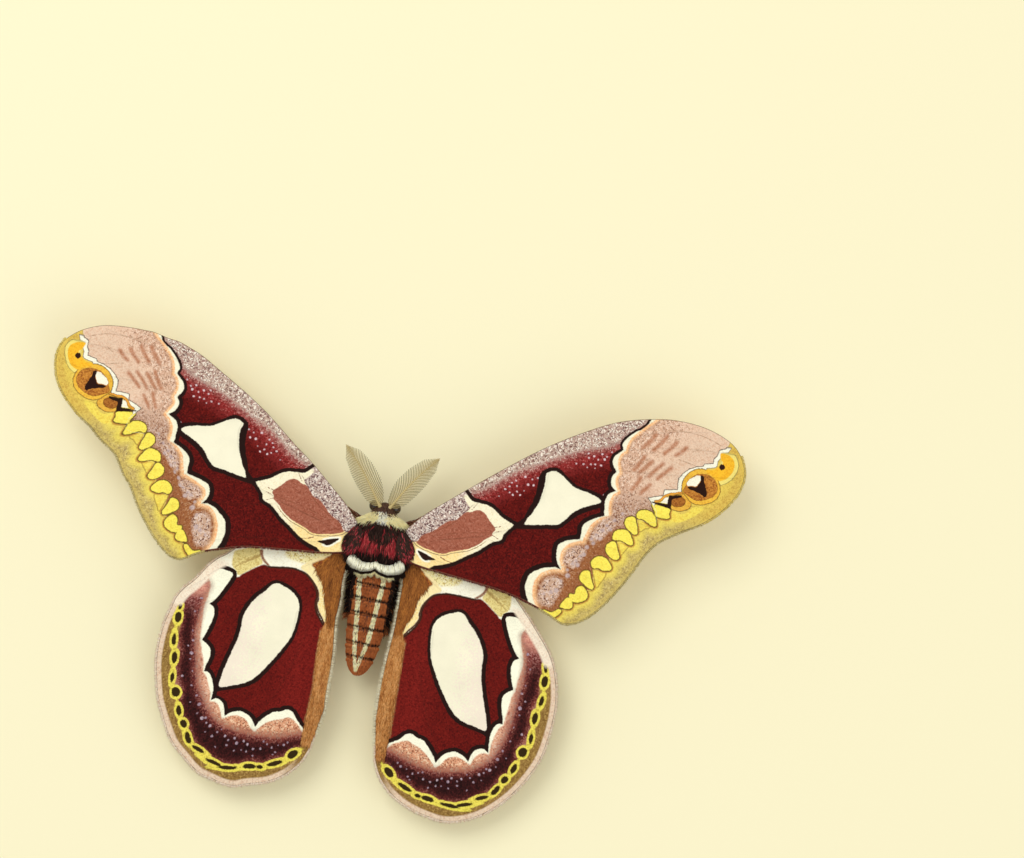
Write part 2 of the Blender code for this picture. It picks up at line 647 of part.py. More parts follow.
def build_body():
    """Thorax, collar, head, eyes and abdomen, each seated against the one that it grows from."""
    thorax = form("thorax", THORAX, 13, 26, MOTH)
    collar = form("collar", COLLAR, 9, 24, MOTH)
    head = form("head", HEAD, 9, 18, MOTH)
    rings = [-3.6, -4.2, -5.2]
    for joint in ABDOMEN_JOINTS:
        rings += [joint + 0.45, joint, joint - 0.45]
        rings.append(joint - 1.25)
    rings += [-21.3, -21.9]
    abdomen = form("abdomen", ABDOMEN, rings, 20, MOTH, pinch=abdomen_pinch, drift=abdomen_drift)
    eyes = []
    for word, side in SIDES:
        x, y, z = EYE_AT
        ball = bmesh.new()
        place = Matrix.Translation(Vector((x * side, y, z)) * MM) @ Matrix.Rotation(math.pi / 2, 4, "Y")
        bmesh.ops.create_uvsphere(ball, u_segments=14, v_segments=9, radius=EYE_RADIUS * MM, matrix=place)
        mesh = bpy.data.meshes.new("eye_" + word)
        ball.to_mesh(mesh)
        ball.free()
        mesh.shade_smooth()
        eyes.append(new_object("eye_" + word, mesh, MOTH))
        paint(eyes[-1], EYE_SURFACE)
    seat(collar, [thorax])
    seat(head, [collar, *eyes])
    seat(abdomen, [thorax])
    paint(thorax, CRIMSON_FUR)
    paint(collar, BUFF_FUR)
    paint(head, DARK_FUR)
    paint(abdomen, BROWN_FUR)
    return thorax, collar, head, abdomen


def build_wings(thorax, abdomen):
    """Both pairs of wings, the forewings lying over the front edge of the hindwings."""
    fore_plan = wing_plan(FOREWING_OUTLINE, FOREWING_VEINS)
    hind_plan = wing_plan(HINDWING_OUTLINE, HINDWING_VEINS)
    for word, side in SIDES:
        fore = wing(
            "forewing_" + word, fore_plan, forewing_height, FOREWING_ROOT, side, FOREWING_TURN[word], [thorax]
        )
        hind = wing(
            "hindwing_" + word, hind_plan, hindwing_height, HINDWING_ROOT, side, HINDWING_TURN[word],
            [thorax, abdomen],
        )
        paint(fore, WING_SCALES)
        paint(hind, WING_SCALES)


def build_limbs(thorax, collar, head, abdomen):
    """The two antennae and the six legs."""
    for word, side in SIDES:
        paint(antenna("antenna_" + word, side, head), ANTENNA_BUFF)
        for pair, path in LEGS.items():
            paint(leg(f"leg_{pair}_{word}", path, side, [thorax, collar, abdomen]), BROWN_FUR)


def stand_on_origin():
    """Hangs every part on one empty, which puts the middle of the whole footprint at the origin."""
    holder = bpy.data.objects.new("moth_at", None)
    MOTH.objects.link(holder)
    for obj in list(MOTH.objects):
        if obj != holder:
            obj.parent = holder
    holder.location = Vector((BODY_AT[0], BODY_AT[1], 0.0)) * MM


clear_scene()
MOTH = bpy.data.collections.new("moth")
CUTTERS = bpy.data.collections.new("cutters")
CUTTERS.hide_render = True
for group in (MOTH, CUTTERS):
    bpy.context.scene.collection.children.link(group)
SIDES = (("right", 1), ("left", -1))
CRIMSON_FUR = material("crimson fur", (0.12, 0.01, 0.015))
BUFF_FUR = material("buff fur", (0.85, 0.66, 0.33))
DARK_FUR = material("dark brown fur", (0.05, 0.03, 0.025))
BROWN_FUR = material("brown fur", (0.25, 0.09, 0.04))
WING_SCALES = material("maroon wing scales", (0.11, 0.006, 0.008), 0.7)
ANTENNA_BUFF = material("buff antenna", (0.65, 0.5, 0.2))
EYE_SURFACE = material("eye", (0.02, 0.012, 0.01), 0.25)
THORAX_NODE, COLLAR_NODE, HEAD_NODE, ABDOMEN_NODE = build_body()
build_wings(THORAX_NODE, ABDOMEN_NODE)
build_limbs(THORAX_NODE, COLLAR_NODE, HEAD_NODE, ABDOMEN_NODE)
fuse(THORAX_NODE, back_locks(), solver="MANIFOLD")
fuse(COLLAR_NODE, ruff_locks(), solver="MANIFOLD")
stand_on_origin()
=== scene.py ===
"""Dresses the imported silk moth: patterned wings, fur, feathered antennae, eyes and legs, on a pale floor.

Plan coordinates are millimetres in the moth's own frame, head along +Y, with the origin on the floor below
the middle of the thorax. The CAD nodes say where that origin lies. Every new mesh is written in metres."""

import math

import bpy
import numpy as np
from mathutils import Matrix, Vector


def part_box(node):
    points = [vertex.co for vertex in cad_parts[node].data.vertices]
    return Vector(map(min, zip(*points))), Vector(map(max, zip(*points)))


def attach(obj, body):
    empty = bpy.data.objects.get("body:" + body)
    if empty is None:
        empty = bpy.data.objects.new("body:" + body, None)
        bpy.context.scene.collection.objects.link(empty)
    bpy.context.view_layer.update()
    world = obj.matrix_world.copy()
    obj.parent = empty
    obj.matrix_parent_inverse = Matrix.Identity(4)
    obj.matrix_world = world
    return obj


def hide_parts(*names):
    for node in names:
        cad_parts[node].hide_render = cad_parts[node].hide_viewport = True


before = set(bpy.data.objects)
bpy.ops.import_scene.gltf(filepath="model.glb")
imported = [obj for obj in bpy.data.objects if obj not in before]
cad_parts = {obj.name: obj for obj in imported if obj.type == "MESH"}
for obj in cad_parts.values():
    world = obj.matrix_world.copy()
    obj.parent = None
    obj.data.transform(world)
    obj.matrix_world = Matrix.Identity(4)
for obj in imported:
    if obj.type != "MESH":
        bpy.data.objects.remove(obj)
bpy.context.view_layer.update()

# Floor: cream paper-white board, wide enough to fill the view. It is dead matt, so the moth's soft shadow
# is all that shows on it.


def linear(sheet):
    """The linear RGBA of an sRGB hex colour."""
    levels = np.array([int(sheet[i : i + 2], 16) for i in (1, 3, 5)]) / 255
    flat = np.where(levels <= 0.04045, levels / 12.92, ((levels + 0.055) / 1.055) ** 2.4)
    return (*flat.tolist(), 1.0)


def add(tree, kind, sockets, **settings):
    """Adds a shader node with its settings, and links or sets its sockets."""
    made = tree.nodes.new("ShaderNode" + kind)
    for name, value in settings.items():
        setattr(made, name, value)
    for key, value in sockets.items():
        if isinstance(value, bpy.types.NodeSocket):
            tree.links.new(value, made.inputs[key])
        else:
            made.inputs[key].default_value = value
    return made


def matter(name):
    """An empty material and its node tree, ready for its shader."""
    made = bpy.data.materials.new(name)
    made.use_nodes = True
    made.node_tree.nodes.clear()
    return made, made.node_tree


def finish_matter(tree, sockets):
    """Ends a material in one Principled shader with those sockets."""
    shader = add(tree, "BsdfPrincipled", sockets)
    add(tree, "OutputMaterial", {"Surface": shader.outputs[0]})


def solid(name, points, faces, surface, smooth=True):
    """A mesh object from points in millimetres and a list of face arrays of three or four corners."""
    mesh = bpy.data.meshes.new(name)
    corners = np.concatenate([np.asarray(block).ravel() for block in faces])
    sizes = np.concatenate([np.full(len(block), np.shape(block)[1]) for block in faces])
    mesh.vertices.add(len(points))
    mesh.vertices.foreach_set("co", (np.asarray(points, dtype=np.float64) * 0.001).ravel())
    mesh.loops.add(len(corners))
    mesh.loops.foreach_set("vertex_index", corners.astype(np.int32))
    mesh.polygons.add(len(sizes))
    mesh.polygons.foreach_set("loop_start", np.concatenate([[0], np.cumsum(sizes)[:-1]]).astype(np.int32))
    mesh.polygons.foreach_set("use_smooth", np.full(len(sizes), smooth))
    mesh.update(calc_edges=True)
    mesh.materials.append(surface)
    made = bpy.data.objects.new(name, mesh)
    bpy.context.scene.collection.objects.link(made)
    return made


board, tree = matter("matt cream board")
finish_matter(tree, {"Base Color": linear("#FCF5CE"), "Roughness": 1.0, "Specular IOR Level": 0.0})
BOARD_HALF = 3000
corners = np.array([(-1, -1, 0), (1, -1, 0), (1, 1, 0), (-1, 1, 0)]) * BOARD_HALF
floor = solid("floor", corners, [[(0, 1, 2, 3)]], board)

# Where the moth stands: its origin is 6.3 mm behind the middle between its two eyes.
EYES_AHEAD = 6.3
EYES = np.array([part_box("eye_left"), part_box("eye_right")]).mean(axis=(0, 1)) * 1000
MOTH_AT = np.array([EYES[0], EYES[1] - EYES_AHEAD, 0.0])
SIDES = (("right", 1), ("left", -1))

# Forewings: a thin membrane stretched between raised veins and clad on both faces with tiny flat scales,
# which carry the pattern. Each wing is one closed sheet, thickest at the veins, and the scales leave a
# clear window bare.


def spline(points, step=0.3, closed=False):
    """Points at even steps on the Catmull-Rom curve through the given ones."""
    key = np.asarray(points, dtype=float)
    ends = (key[-1:], key[:2]) if closed else (key[:1], key[-1:])
    padded = np.concatenate([ends[0], key, ends[1]])
    t = np.linspace(0, 1, 24, endpoint=False)[:, None, None]
    a, b, c, d = (padded[i : len(padded) - 3 + i] for i in range(4))
    fine = 0.5 * (2 * b + (c - a) * t + (2 * a - 5 * b + 4 * c - d) * t**2 + (3 * b - a - 3 * c + d) * t**3)
    fine = fine.transpose(1, 0, 2).reshape(-1, key.shape[1])
    return even(np.concatenate([fine, padded[-2 if closed else -1 :][:1]]), step=step)


def even(line, step=None, count=None):
    """The line divided again into equal lengths, by the size of a step or by the number of them."""
    run = run_of(line)
    count = count or max(1, round(run[-1] / step))
    return part_way(np.linspace(0, run[-1], count + 1), run, line)


def part_way(at, run, line):
    """The points of a line at those places of its run, in proportion between its given points."""
    return np.stack([np.interp(at, run, line[:, k]) for k in range(line.shape[1])], axis=-1)


def run_of(line):
    """How far along a line each of its points lies."""
    return np.concatenate([[0], np.cumsum(np.linalg.norm(np.diff(line, axis=0), axis=1))])


def trace(*arcs):
    """One line made of smooth arcs that meet at cusps."""
    return np.concatenate([spline(arc) for arc in arcs])


def off(plan, line):
    """How far each plan point is from a line of straight pieces: the least of its distances to them."""
    least = np.full(plan.shape[:-1], 1e9)
    for a, b in zip(line[:-1], line[1:]):
        way = b - a
        share = np.clip(((plan - a) @ way) / max(way @ way, 1e-12), 0, 1)
        least = np.minimum(least, np.square(plan - a - share[..., None] * way).sum(axis=-1))
    return np.sqrt(least)


def side_of(plan, ring):
    """1 inside a closed ring and -1 outside it, by how often a line from each point crosses the ring."""
    inside = np.zeros(plan.shape[:-1], dtype=bool)
    for (ax, ay), (bx, by) in zip(ring, np.roll(ring, -1, axis=0)):
        if ay != by:
            spans = (plan[..., 1] > ay) != (plan[..., 1] > by)
            inside ^= spans & (plan[..., 0] < (bx - ax) * (plan[..., 1] - ay) / (by - ay) + ax)
    return np.where(inside, 1, -1)


def depth(plan, ring, reach=3.0):
    """How deep each plan point lies inside a closed ring, and outside it down to minus the reach."""
    found = np.full(plan.shape[:-1], -reach)
    near = ((plan > ring.min(axis=0) - reach) & (plan < ring.max(axis=0) + reach)).all(axis=-1)
    inner = side_of(plan[near], ring) * off(plan[near], np.concatenate([ring, ring[:1]]))
    found[near] = np.maximum(inner, -reach)
    return found


def deepest(plan, rings):
    """How deep each plan point lies inside the smooth closed shape that holds it deepest."""
    return np.max([depth(plan, spline(ring, closed=True)) for ring in rings], axis=0)


def nearest(plan, lines):
    """How far each plan point is from the nearest of some smooth lines."""
    return np.min([off(plan, spline(line, step=0.6)) for line in lines], axis=0)


def beyond(plan, line, *corners):
    """How far past a line each plan point is, on the side where the corners close it to a ring."""
    return side_of(plan, np.concatenate([line, np.array(corners, dtype=float)])) * off(plan, line)


def round_spots(plan, spots):
    """How deep each plan point lies inside the nearest round spot: its radius less the distance."""
    return np.max([r - np.hypot(plan[..., 0] - x, plan[..., 1] - y) for x, y, r in spots], axis=0)


def sheet_grid(front, back, root, tip):
    """Coons patch: blends the two long edges and the two short ones, less the blend of the four corners."""
    u = np.linspace(0, 1, len(front))[:, None, None]
    v = np.linspace(0, 1, len(root))[None, :, None]
    long_way = (1 - v) * front[:, None] + v * back[:, None]
    short_way = (1 - u) * root[None] + u * tip[None]
    corners = (1 - u) * ((1 - v) * front[0] + v * back[0]) + u * ((1 - v) * front[-1] + v * back[-1])
    return long_way + short_way - corners


def settle(plan, side, turn, root, sway, stretch):
    """Plan places as they stand: turned and stretched about the wing's root, and mirrored on the left.

    The left wings of the moth also differ a little from the right ones. Each mark of the sway gives a place
    and how far it is moved there, and a place is moved by their mean, weighted by 1 / (squared distance +
    2) squared."""
    if side < 0:
        marks = np.array(sway)
        weight = 1 / (np.square(plan[..., None, :] - marks[:, :2]).sum(axis=-1) + 2) ** 2
        plan = plan + (weight @ marks[:, 2:]) / weight.sum(axis=-1, keepdims=True)
    angle = math.radians(turn * side)
    spin = np.array([[math.cos(angle), math.sin(angle)], [-math.sin(angle), math.cos(angle)]])
    return ((plan - root) @ spin * stretch + root) * (side, 1)


def wing_height(plan, fore):
    """How high the middle of the membrane stands, in millimetres.

    A forewing rises along its span by a parabola and falls off from its spine by another. A hindwing falls
    off by a parabola of the distance from its root, and folds down beside the body."""
    x, y = plan[..., 0], plan[..., 1]
    if fore:
        lean = math.radians(21.4)
        along = (x - 6) * math.cos(lean) + (y - 1) * math.sin(lean)
        across = (y - 1) * math.cos(lean) - (x - 6) * math.sin(lean)
        return 8.75 + 0.11 * along - 0.0018 * along**2 - 0.0055 * (across + 2) ** 2
    out, fold = np.hypot(x - 5.5, y + 2.5), np.maximum(0, 1 - (x - 4) / 6)
    return 7.3 + 0.03 * out - 0.0021 * out**2 - 0.5 * fold**2


def wing_solid(name, plan, placed, height, relief, facts, surface, side):
    """A closed wing: the fine top grid and a bottom grid three times as coarse, both half a thickness from
    the middle surface, joined round the rim by a fan of three triangles to each coarse edge."""
    edge = np.clip(facts["rim"] / 0.5, 0, 1)
    half = 0.05 + 0.08 * edge + relief
    top = np.concatenate([placed, (height + half)[..., None]], axis=-1)
    low = np.concatenate([placed, (height - half)[..., None]], axis=-1)[::3, ::3]
    sheets, faces, loops = (top, low), [], []
    first = 0
    for sheet, step in zip(sheets, (1, 3)):
        rows, columns = sheet.shape[:2]
        at = first + np.arange(rows * columns).reshape(rows, columns)
        quads = np.stack([at[:-1, :-1], at[:-1, 1:], at[1:, 1:], at[1:, :-1]], axis=-1).reshape(-1, 4)
        faces.append(quads if (step == 1) == (side > 0) else quads[:, ::-1])
        loops.append(np.concatenate([at[:-1, 0], at[-1, :-1], at[:0:-1, -1], at[0, :0:-1]]))
        first += rows * columns
    t, b = loops[0].reshape(-1, 3), loops[1]
    t3, b1 = np.roll(loops[0], -3).reshape(-1, 3)[:, 0], np.roll(b, -1)
    rim = np.stack(
        [[t[:, 0], t[:, 1], b], [t[:, 1], t[:, 2], b], [t[:, 2], b1, b], [t[:, 2], t3, b1]]
    ).transpose(0, 2, 1).reshape(-1, 3)
    faces.append(rim if side > 0 else rim[:, ::-1])
    points = np.concatenate([sheet.reshape(-1, 3) for sheet in sheets]) + MOTH_AT
    made = solid(name, points, faces, surface)
    for fact, values in {**facts, "under": np.zeros(plan.shape[:2])}.items():
        both = [values.ravel(), values[::3, ::3].ravel() + (fact == "under")]
        layer = made.data.attributes.new(fact, "FLOAT", "POINT")
        layer.data.foreach_set("value", np.concatenate(both).astype(np.float32))
    flat = made.data.attributes.new("plan", "FLOAT_VECTOR", "POINT")
    both = [np.concatenate([g, np.full(g.shape[:2], z)[..., None]], axis=-1).reshape(-1, 3)
            for g, z in ((plan, 0.0), (plan[::3, ::3], 7.0))]
    flat.data.foreach_set("vector", np.concatenate(both).astype(np.float32).ravel())
    return made


FORE_OUTLINE = (
    (3.8, 2.4), (5.0, 4.3), (7.0, 6.5), (10.0, 9.1), (13.4, 12.0), (20.0, 17.4), (25.0, 21.1), (30.0, 24.2),
    (35.0, 26.8), (40.0, 28.3), (45.0, 29.0), (50.0, 28.6), (54.2, 27.1), (56.5, 25.0), (57.6, 22.0),
    (57.1, 19.0), (55.3, 16.0), (52.5, 13.2), (48.6, 10.8), (45.6, 8.7), (43.6, 6.1), (41.9, 2.6),
    (40.1, -0.6), (37.9, -3.9), (35.4, -6.4), (32.6, -7.5), (29.8, -6.4), (26.0, -5.0), (21.0, -3.9),
    (15.0, -3.2), (9.0, -2.6), (5.6, -2.0), (3.8, -1.2),
)
FORE_VEINS = (
    ((4.0, 2.2), (8.0, 6.2), (15.0, 12.2), (25.0, 19.8), (34.0, 25.0), (41.0, 28.0)),
    ((4.0, 1.6), (8.0, 4.3), (14.0, 8.9), (20.0, 13.4), (25.6, 17.2)),
    ((25.6, 17.2), (30.0, 20.2), (36.0, 23.9), (43.0, 26.6), (50.5, 28.0)),
    ((30.0, 20.2), (37.3, 22.6), (47.0, 24.6), (56.0, 25.1)),
    ((25.6, 17.2), (31.0, 18.4), (37.1, 19.1), (47.0, 20.1), (57.3, 21.4)),
    ((25.6, 17.2), (31.5, 16.3), (37.4, 15.6), (46.0, 15.4), (55.4, 15.7)),
    ((25.6, 17.2), (25.2, 12.4), (22.4, 7.0)),
    ((22.4, 7.0), (27.0, 7.4), (31.0, 9.8), (37.0, 11.4), (44.0, 10.9), (49.6, 11.4)),
    ((4.2, 0.6), (10.0, 2.5), (16.5, 4.4), (22.4, 7.0)),
    ((22.4, 7.0), (28.0, 6.3), (33.6, 6.7), (39.0, 6.2), (44.0, 6.6)),
    ((16.5, 4.4), (23.0, 2.8), (30.5, 1.8), (36.0, 0.6), (40.3, 0.0)),
    ((4.4, -0.4), (12.0, -1.3), (21.0, -2.4), (28.0, -4.2), (33.2, -7.3)),
)
# How the left forewing differs from the right one: place, then how far it is moved there
FORE_SWAY = (
    (5.0, 0.5, 0.0, 0.0), (9.0, -1.0, 0.4, -0.1), (13.5, 7.5, 0.2, 0.0), (20.0, 17.3, 0.34, -0.28),
    (26.0, 17.0, 0.24, -0.58), (25.2, 14.5, 0.64, -0.18), (24.2, 9.5, 0.44, -0.28),
    (35.1, 13.5, 0.54, -0.28), (30.0, 24.2, 0.24, -0.68), (35.0, 26.8, 0.44, -0.48),
    (39.6, 28.2, 0.84, -0.58), (39.2, 26.4, 1.14, 0.12), (37.1, 22.6, 0.84, -0.38),
    (36.7, 18.8, 0.54, -0.48), (37.1, 15.7, 1.04, -0.38), (35.9, 11.4, 0.44, -0.48),
    (32.6, 6.9, 0.64, -0.58), (30.4, 1.3, -0.4, 0.45), (25.2, -1.4, 0.3, 0.2), (26.0, -4.8, 0.2, -0.2),
    (46.0, 28.9, 0.64, -0.68), (54.2, 27.0, 0.35, -0.5), (57.6, 22.0, 0.5, -0.1), (55.6, 16.5, 0.6, -0.4),
    (52.5, 13.2, 0.14, -0.68), (46.8, 9.8, 0.84, -0.88), (43.6, 6.1, 0.74, -0.58), (41.3, 1.2, 0.04, -0.18),
    (37.0, -4.8, -0.26, -0.18), (32.6, -7.4, -0.16, -0.48), (53.7, 22.7, 0.94, -0.58),
    (51.0, 18.6, 0.54, -0.58), (48.0, 15.8, 0.34, -0.48), (44.9, 16.4, 0.04, 0.12),
    (45.0, 13.8, 0.14, -0.18), (42.8, 12.4, -0.06, -0.18), (40.6, 10.7, -0.06, -0.38),
    (39.5, 8.7, 0.14, -0.48), (38.2, 6.0, -0.06, -0.28), (36.9, 3.6, 0.14, -0.18),
    (35.0, 0.4, -0.06, -0.08), (34.4, -2.2, 0.04, -0.18), (32.5, -4.3, 0.0, 0.0),
)
FAR = ((80, 60), (80, -60))

# Lines that part the fields of the forewing, each from the front edge to the hind one
FORE_INNER = trace(
    ((12.3, 11.8), (13.2, 10.9), (14.0, 10.2), (15.0, 10.0), (16.5, 9.9), (17.5, 9.6), (18.5, 9.0),
     (19.5, 8.3), (20.5, 7.9), (22.0, 7.3)),
    ((22.0, 7.3), (21.6, 6.8), (21.0, 6.0), (20.4, 5.2), (20.2, 4.3), (19.5, 3.8), (18.5, 3.3), (17.5, 2.4),
     (16.5, 1.5), (14.7, 0.3), (13.0, -0.9), (11.2, -1.8), (9.7, -2.3), (8.6, -3.4)),
)
FORE_OUTER = trace(
    ((41.2, 29.4), (40.3, 27.3), (39.4, 26.4), (38.6, 25.9), (37.9, 25.2), (37.2, 24.4), (36.8, 23.6),
     (37.1, 22.6)),
    ((37.1, 22.6), (36.5, 22.0), (35.9, 21.4), (35.7, 20.6), (35.9, 19.8), (36.7, 18.8)),
    ((36.7, 18.8), (36.2, 18.4), (36.0, 17.8), (36.0, 17.0), (36.3, 16.3), (37.1, 15.7)),
    ((37.1, 15.7), (36.5, 15.4), (36.0, 15.0), (35.7, 14.2), (35.6, 13.4), (35.8, 12.0), (35.9, 11.3)),
    ((35.9, 11.3), (35.0, 10.9), (34.2, 10.5), (33.5, 10.0), (32.9, 9.4), (32.6, 8.7), (32.7, 7.8),
     (32.6, 6.8)),
    ((32.6, 6.8), (31.8, 6.6), (30.8, 6.3), (30.0, 5.9), (29.4, 5.4), (29.2, 4.8), (29.3, 3.4), (29.6, 2.4),
     (30.4, 1.3)),
    ((30.4, 1.3), (29.5, 1.5), (28.6, 1.3), (27.5, 1.0), (26.6, 0.5), (25.9, 0.0), (25.4, -0.6),
     (25.2, -1.4), (25.1, -2.4), (25.3, -3.3), (25.6, -4.0), (26.1, -5.0), (26.6, -6.6)),
)
FORE_SCALLOP = trace(
    ((42.4, 29.4), (41.2, 28.2), (40.2, 27.2), (39.2, 26.1), (38.4, 25.2), (37.9, 24.5), (37.6, 23.6),
     (37.5, 22.5)),
    ((37.5, 22.5), (36.9, 22.0), (36.6, 21.3), (36.5, 20.6), (36.7, 19.8), (37.1, 18.8)),
    ((37.1, 18.8), (36.8, 18.2), (36.7, 17.4), (36.9, 16.6), (37.4, 15.6)),
    ((37.4, 15.6), (36.8, 15.1), (36.4, 14.2), (36.3, 13.1), (36.5, 12.1), (36.6, 11.5)),
    ((36.6, 11.5), (35.5, 11.0), (34.8, 10.4), (34.2, 9.8), (33.8, 9.0), (33.4, 7.8), (33.1, 6.7)),
    ((33.1, 6.7), (31.8, 6.2), (31.0, 5.7), (30.4, 5.0), (30.0, 4.2), (29.9, 3.4), (30.0, 2.6),
     (30.6, 1.3)),
    ((30.6, 1.3), (29.8, 1.3), (29.0, 1.1), (28.0, 0.6), (27.2, 0.0), (26.7, -0.8), (26.4, -1.8),
     (26.4, -2.8), (26.6, -3.8), (27.1, -4.9), (27.8, -6.4)),
)
# Inner edge of the margin, down to its meeting with the lobes; the zigzag line is the first part of it
FORE_APEX = np.array((
    (54.6, 28.2), (54.2, 26.6), (53.8, 25.8), (52.8, 25.3), (52.6, 24.3), (52.2, 23.8), (52.2, 23.0),
    (50.8, 22.7), (50.6, 22.2), (49.4, 21.9), (48.4, 21.4), (47.6, 20.6), (47.0, 19.6), (47.1, 17.7),
    (45.0, 17.3), (44.9, 16.3), (43.6, 15.9), (42.6, 15.5), (43.2, 14.9),
))
FORE_FIELD = np.array((
    (43.2, 14.9), (44.2, 13.6), (44.6, 11.9), (43.4, 11.5), (41.4, 11.7), (41.6, 9.7), (40.8, 9.2),
    (41.0, 8.0), (40.3, 7.6), (38.8, 7.4), (39.0, 6.3), (39.4, 5.2), (38.0, 4.5), (38.3, 2.8), (35.7, 2.3),
    (36.0, 0.6), (36.3, -1.0), (35.3, -1.3), (35.2, -2.8), (34.2, -3.4), (33.1, -3.5), (32.8, -4.9),
    (31.6, -5.3), (30.8, -6.5), (30.4, -8.4),
))
FORE_WINDOW = trace(
    ((26.7, 17.2), (26.1, 17.0), (25.5, 16.7), (25.2, 16.3), (25.3, 15.0), (25.2, 13.5), (24.9, 11.6),
     (24.5, 10.5), (24.1, 9.6), (23.5, 8.6), (23.1, 7.5)),
    ((23.1, 7.5), (24.0, 7.6), (25.5, 7.9), (27.0, 8.2), (28.3, 8.4), (29.0, 8.8), (29.7, 9.6),
     (31.0, 11.2), (32.5, 12.2), (34.0, 12.9), (35.2, 13.5)),
    ((35.2, 13.5), (34.3, 14.1), (33.0, 14.5), (31.0, 14.9), (30.0, 15.2), (29.0, 15.8), (28.0, 16.6),
     (26.7, 17.2)),
)
FORE_FRAME = np.array((
    (24.5, 16.8), (25.3, 17.4), (26.2, 17.7), (26.8, 17.8), (27.7, 17.4), (28.7, 16.7), (29.7, 15.9),
    (30.7, 15.4), (33.0, 15.1), (34.6, 14.7), (36.0, 14.2), (36.0, 12.9), (34.0, 12.0), (32.5, 11.2),
    (31.3, 10.3), (30.3, 9.2), (29.5, 8.3), (28.7, 7.8), (27.0, 7.5), (25.0, 7.1), (23.4, 6.8), (21.8, 6.6),
    (21.8, 7.5), (22.9, 8.6), (23.3, 10.0), (23.8, 11.4), (24.1, 13.0), (24.2, 14.5), (24.1, 15.6),
))
FORE_COSTAL = trace(
    ((3.0, 1.0), (5.9, 1.4), (6.5, 2.3), (7.5, 3.2), (8.3, 3.6), (9.0, 4.2), (10.0, 5.2), (10.8, 5.9),
     (11.9, 6.2), (12.5, 7.0), (13.3, 7.8), (13.8, 8.5), (13.2, 9.3), (12.4, 10.3)),
    ((12.4, 10.3), (13.6, 11.0), (15.0, 11.7), (17.0, 13.1), (20.0, 15.6), (22.5, 17.0), (25.0, 18.4),
     (27.0, 19.5), (30.0, 21.1), (33.0, 22.1), (35.5, 23.2), (37.6, 24.9), (41.0, 28.6)),
)
FORE_PATCH = (
    (5.9, 1.6), (6.2, 2.6), (7.5, 3.8), (8.6, 4.6), (10.2, 6.0), (11.4, 6.8), (12.6, 7.6), (13.6, 7.9),
    (14.2, 8.0), (14.8, 8.4), (15.5, 8.5), (16.2, 8.3), (16.8, 7.8), (17.3, 7.2), (17.8, 6.7), (18.4, 6.2),
    (18.6, 5.7), (18.2, 5.2), (18.3, 4.8), (17.3, 4.0), (16.6, 3.2), (16.0, 2.7), (15.0, 2.0), (14.2, 1.6),
    (13.2, 1.3), (12.1, 0.9), (11.1, 0.4), (10.3, 0.3), (9.5, 0.3), (8.5, 0.5), (7.5, 0.7), (6.6, 1.0),
)
FORE_STREAKS = (
    ((7.0, 2.6), (10.5, 4.8), (12.6, 6.6)), ((8.6, 2.9), (12.5, 4.1), (17.6, 5.1)), ((9.6, 2.5),
     (13.0, 3.3), (16.8, 4.3)),
    ((13.6, 8.3), (14.3, 9.3)), ((14.2, 8.4), (14.9, 9.5)), ((18.0, 6.0), (19.4, 6.5)), ((18.5, 5.3),
     (19.6, 5.8)),
    ((18.3, 4.8), (19.3, 4.4)), ((10.4, -0.3), (11.4, -0.7), (12.6, -0.9)),
)
FORE_SPOT = ((6.5, 0.1), (7.2, 0.0), (8.4, -0.4), (9.7, -0.9), (9.0, -1.1), (8.1, -1.3), (7.4, -1.0),
             (6.9, -0.5))
FORE_LOBES = (
    ((43.3, 14.6), (44.8, 14.6), (46.3, 14.4), (46.4, 13.6), (46.5, 12.8), (44.5, 12.7), (43.9, 13.6)),
    ((41.1, 12.5), (41.4, 13.1), (42.0, 13.4), (42.8, 13.5), (43.7, 13.2), (44.3, 12.5), (44.6, 11.6),
     (44.6, 11.1), (43.9, 11.1), (43.1, 11.5), (42.2, 11.9), (41.4, 11.9)),
    ((39.4, 11.0), (39.7, 11.7), (40.4, 12.0), (41.0, 11.9), (41.3, 11.2), (41.6, 10.3), (41.8, 9.4),
     (41.2, 9.2), (40.5, 9.6), (39.8, 10.1)),
    ((37.9, 8.4), (38.1, 9.1), (38.8, 9.5), (39.8, 9.7), (40.6, 9.2), (41.1, 8.4), (41.4, 7.5), (40.9, 7.3),
     (40.2, 7.5), (39.4, 7.8), (38.6, 7.7), (38.0, 7.8)),
    ((37.1, 6.1), (37.3, 6.9), (38.0, 7.4), (38.6, 7.3), (38.9, 6.6), (39.3, 5.7), (39.6, 4.9), (39.1, 4.5),
     (38.2, 4.7), (37.4, 5.3)),
    ((35.1, 3.3), (35.4, 4.0), (36.0, 4.5), (36.9, 4.6), (37.8, 4.2), (38.4, 3.5), (38.6, 2.8), (38.1, 2.5),
     (37.2, 2.4), (36.4, 2.6), (35.6, 2.5)),
    ((33.7, 0.8), (34.0, 1.6), (34.7, 1.9), (35.2, 1.8), (35.5, 1.0), (35.9, 0.2), (36.3, -0.6),
     (36.1, -1.1), (35.4, -0.9), (34.6, -0.4), (33.9, 0.1)),
    ((33.5, -1.5), (33.8, -1.0), (34.4, -0.8), (35.1, -1.3), (35.6, -2.2), (35.4, -2.9), (34.7, -3.4),
     (33.8, -3.7), (33.0, -3.4), (32.5, -2.7), (32.8, -2.3), (33.4, -2.4)),
    ((32.0, -3.5), (32.4, -3.1), (33.0, -3.4), (33.4, -4.1), (33.3, -4.7), (32.7, -5.0), (32.0, -5.0),
     (31.4, -4.9), (31.5, -4.3)),
    ((31.2, -5.3), (31.8, -5.5), (31.4, -6.2), (30.7, -6.8), (29.6, -6.9), (28.6, -6.3), (28.8, -5.8),
     (30.2, -6.0)),
)
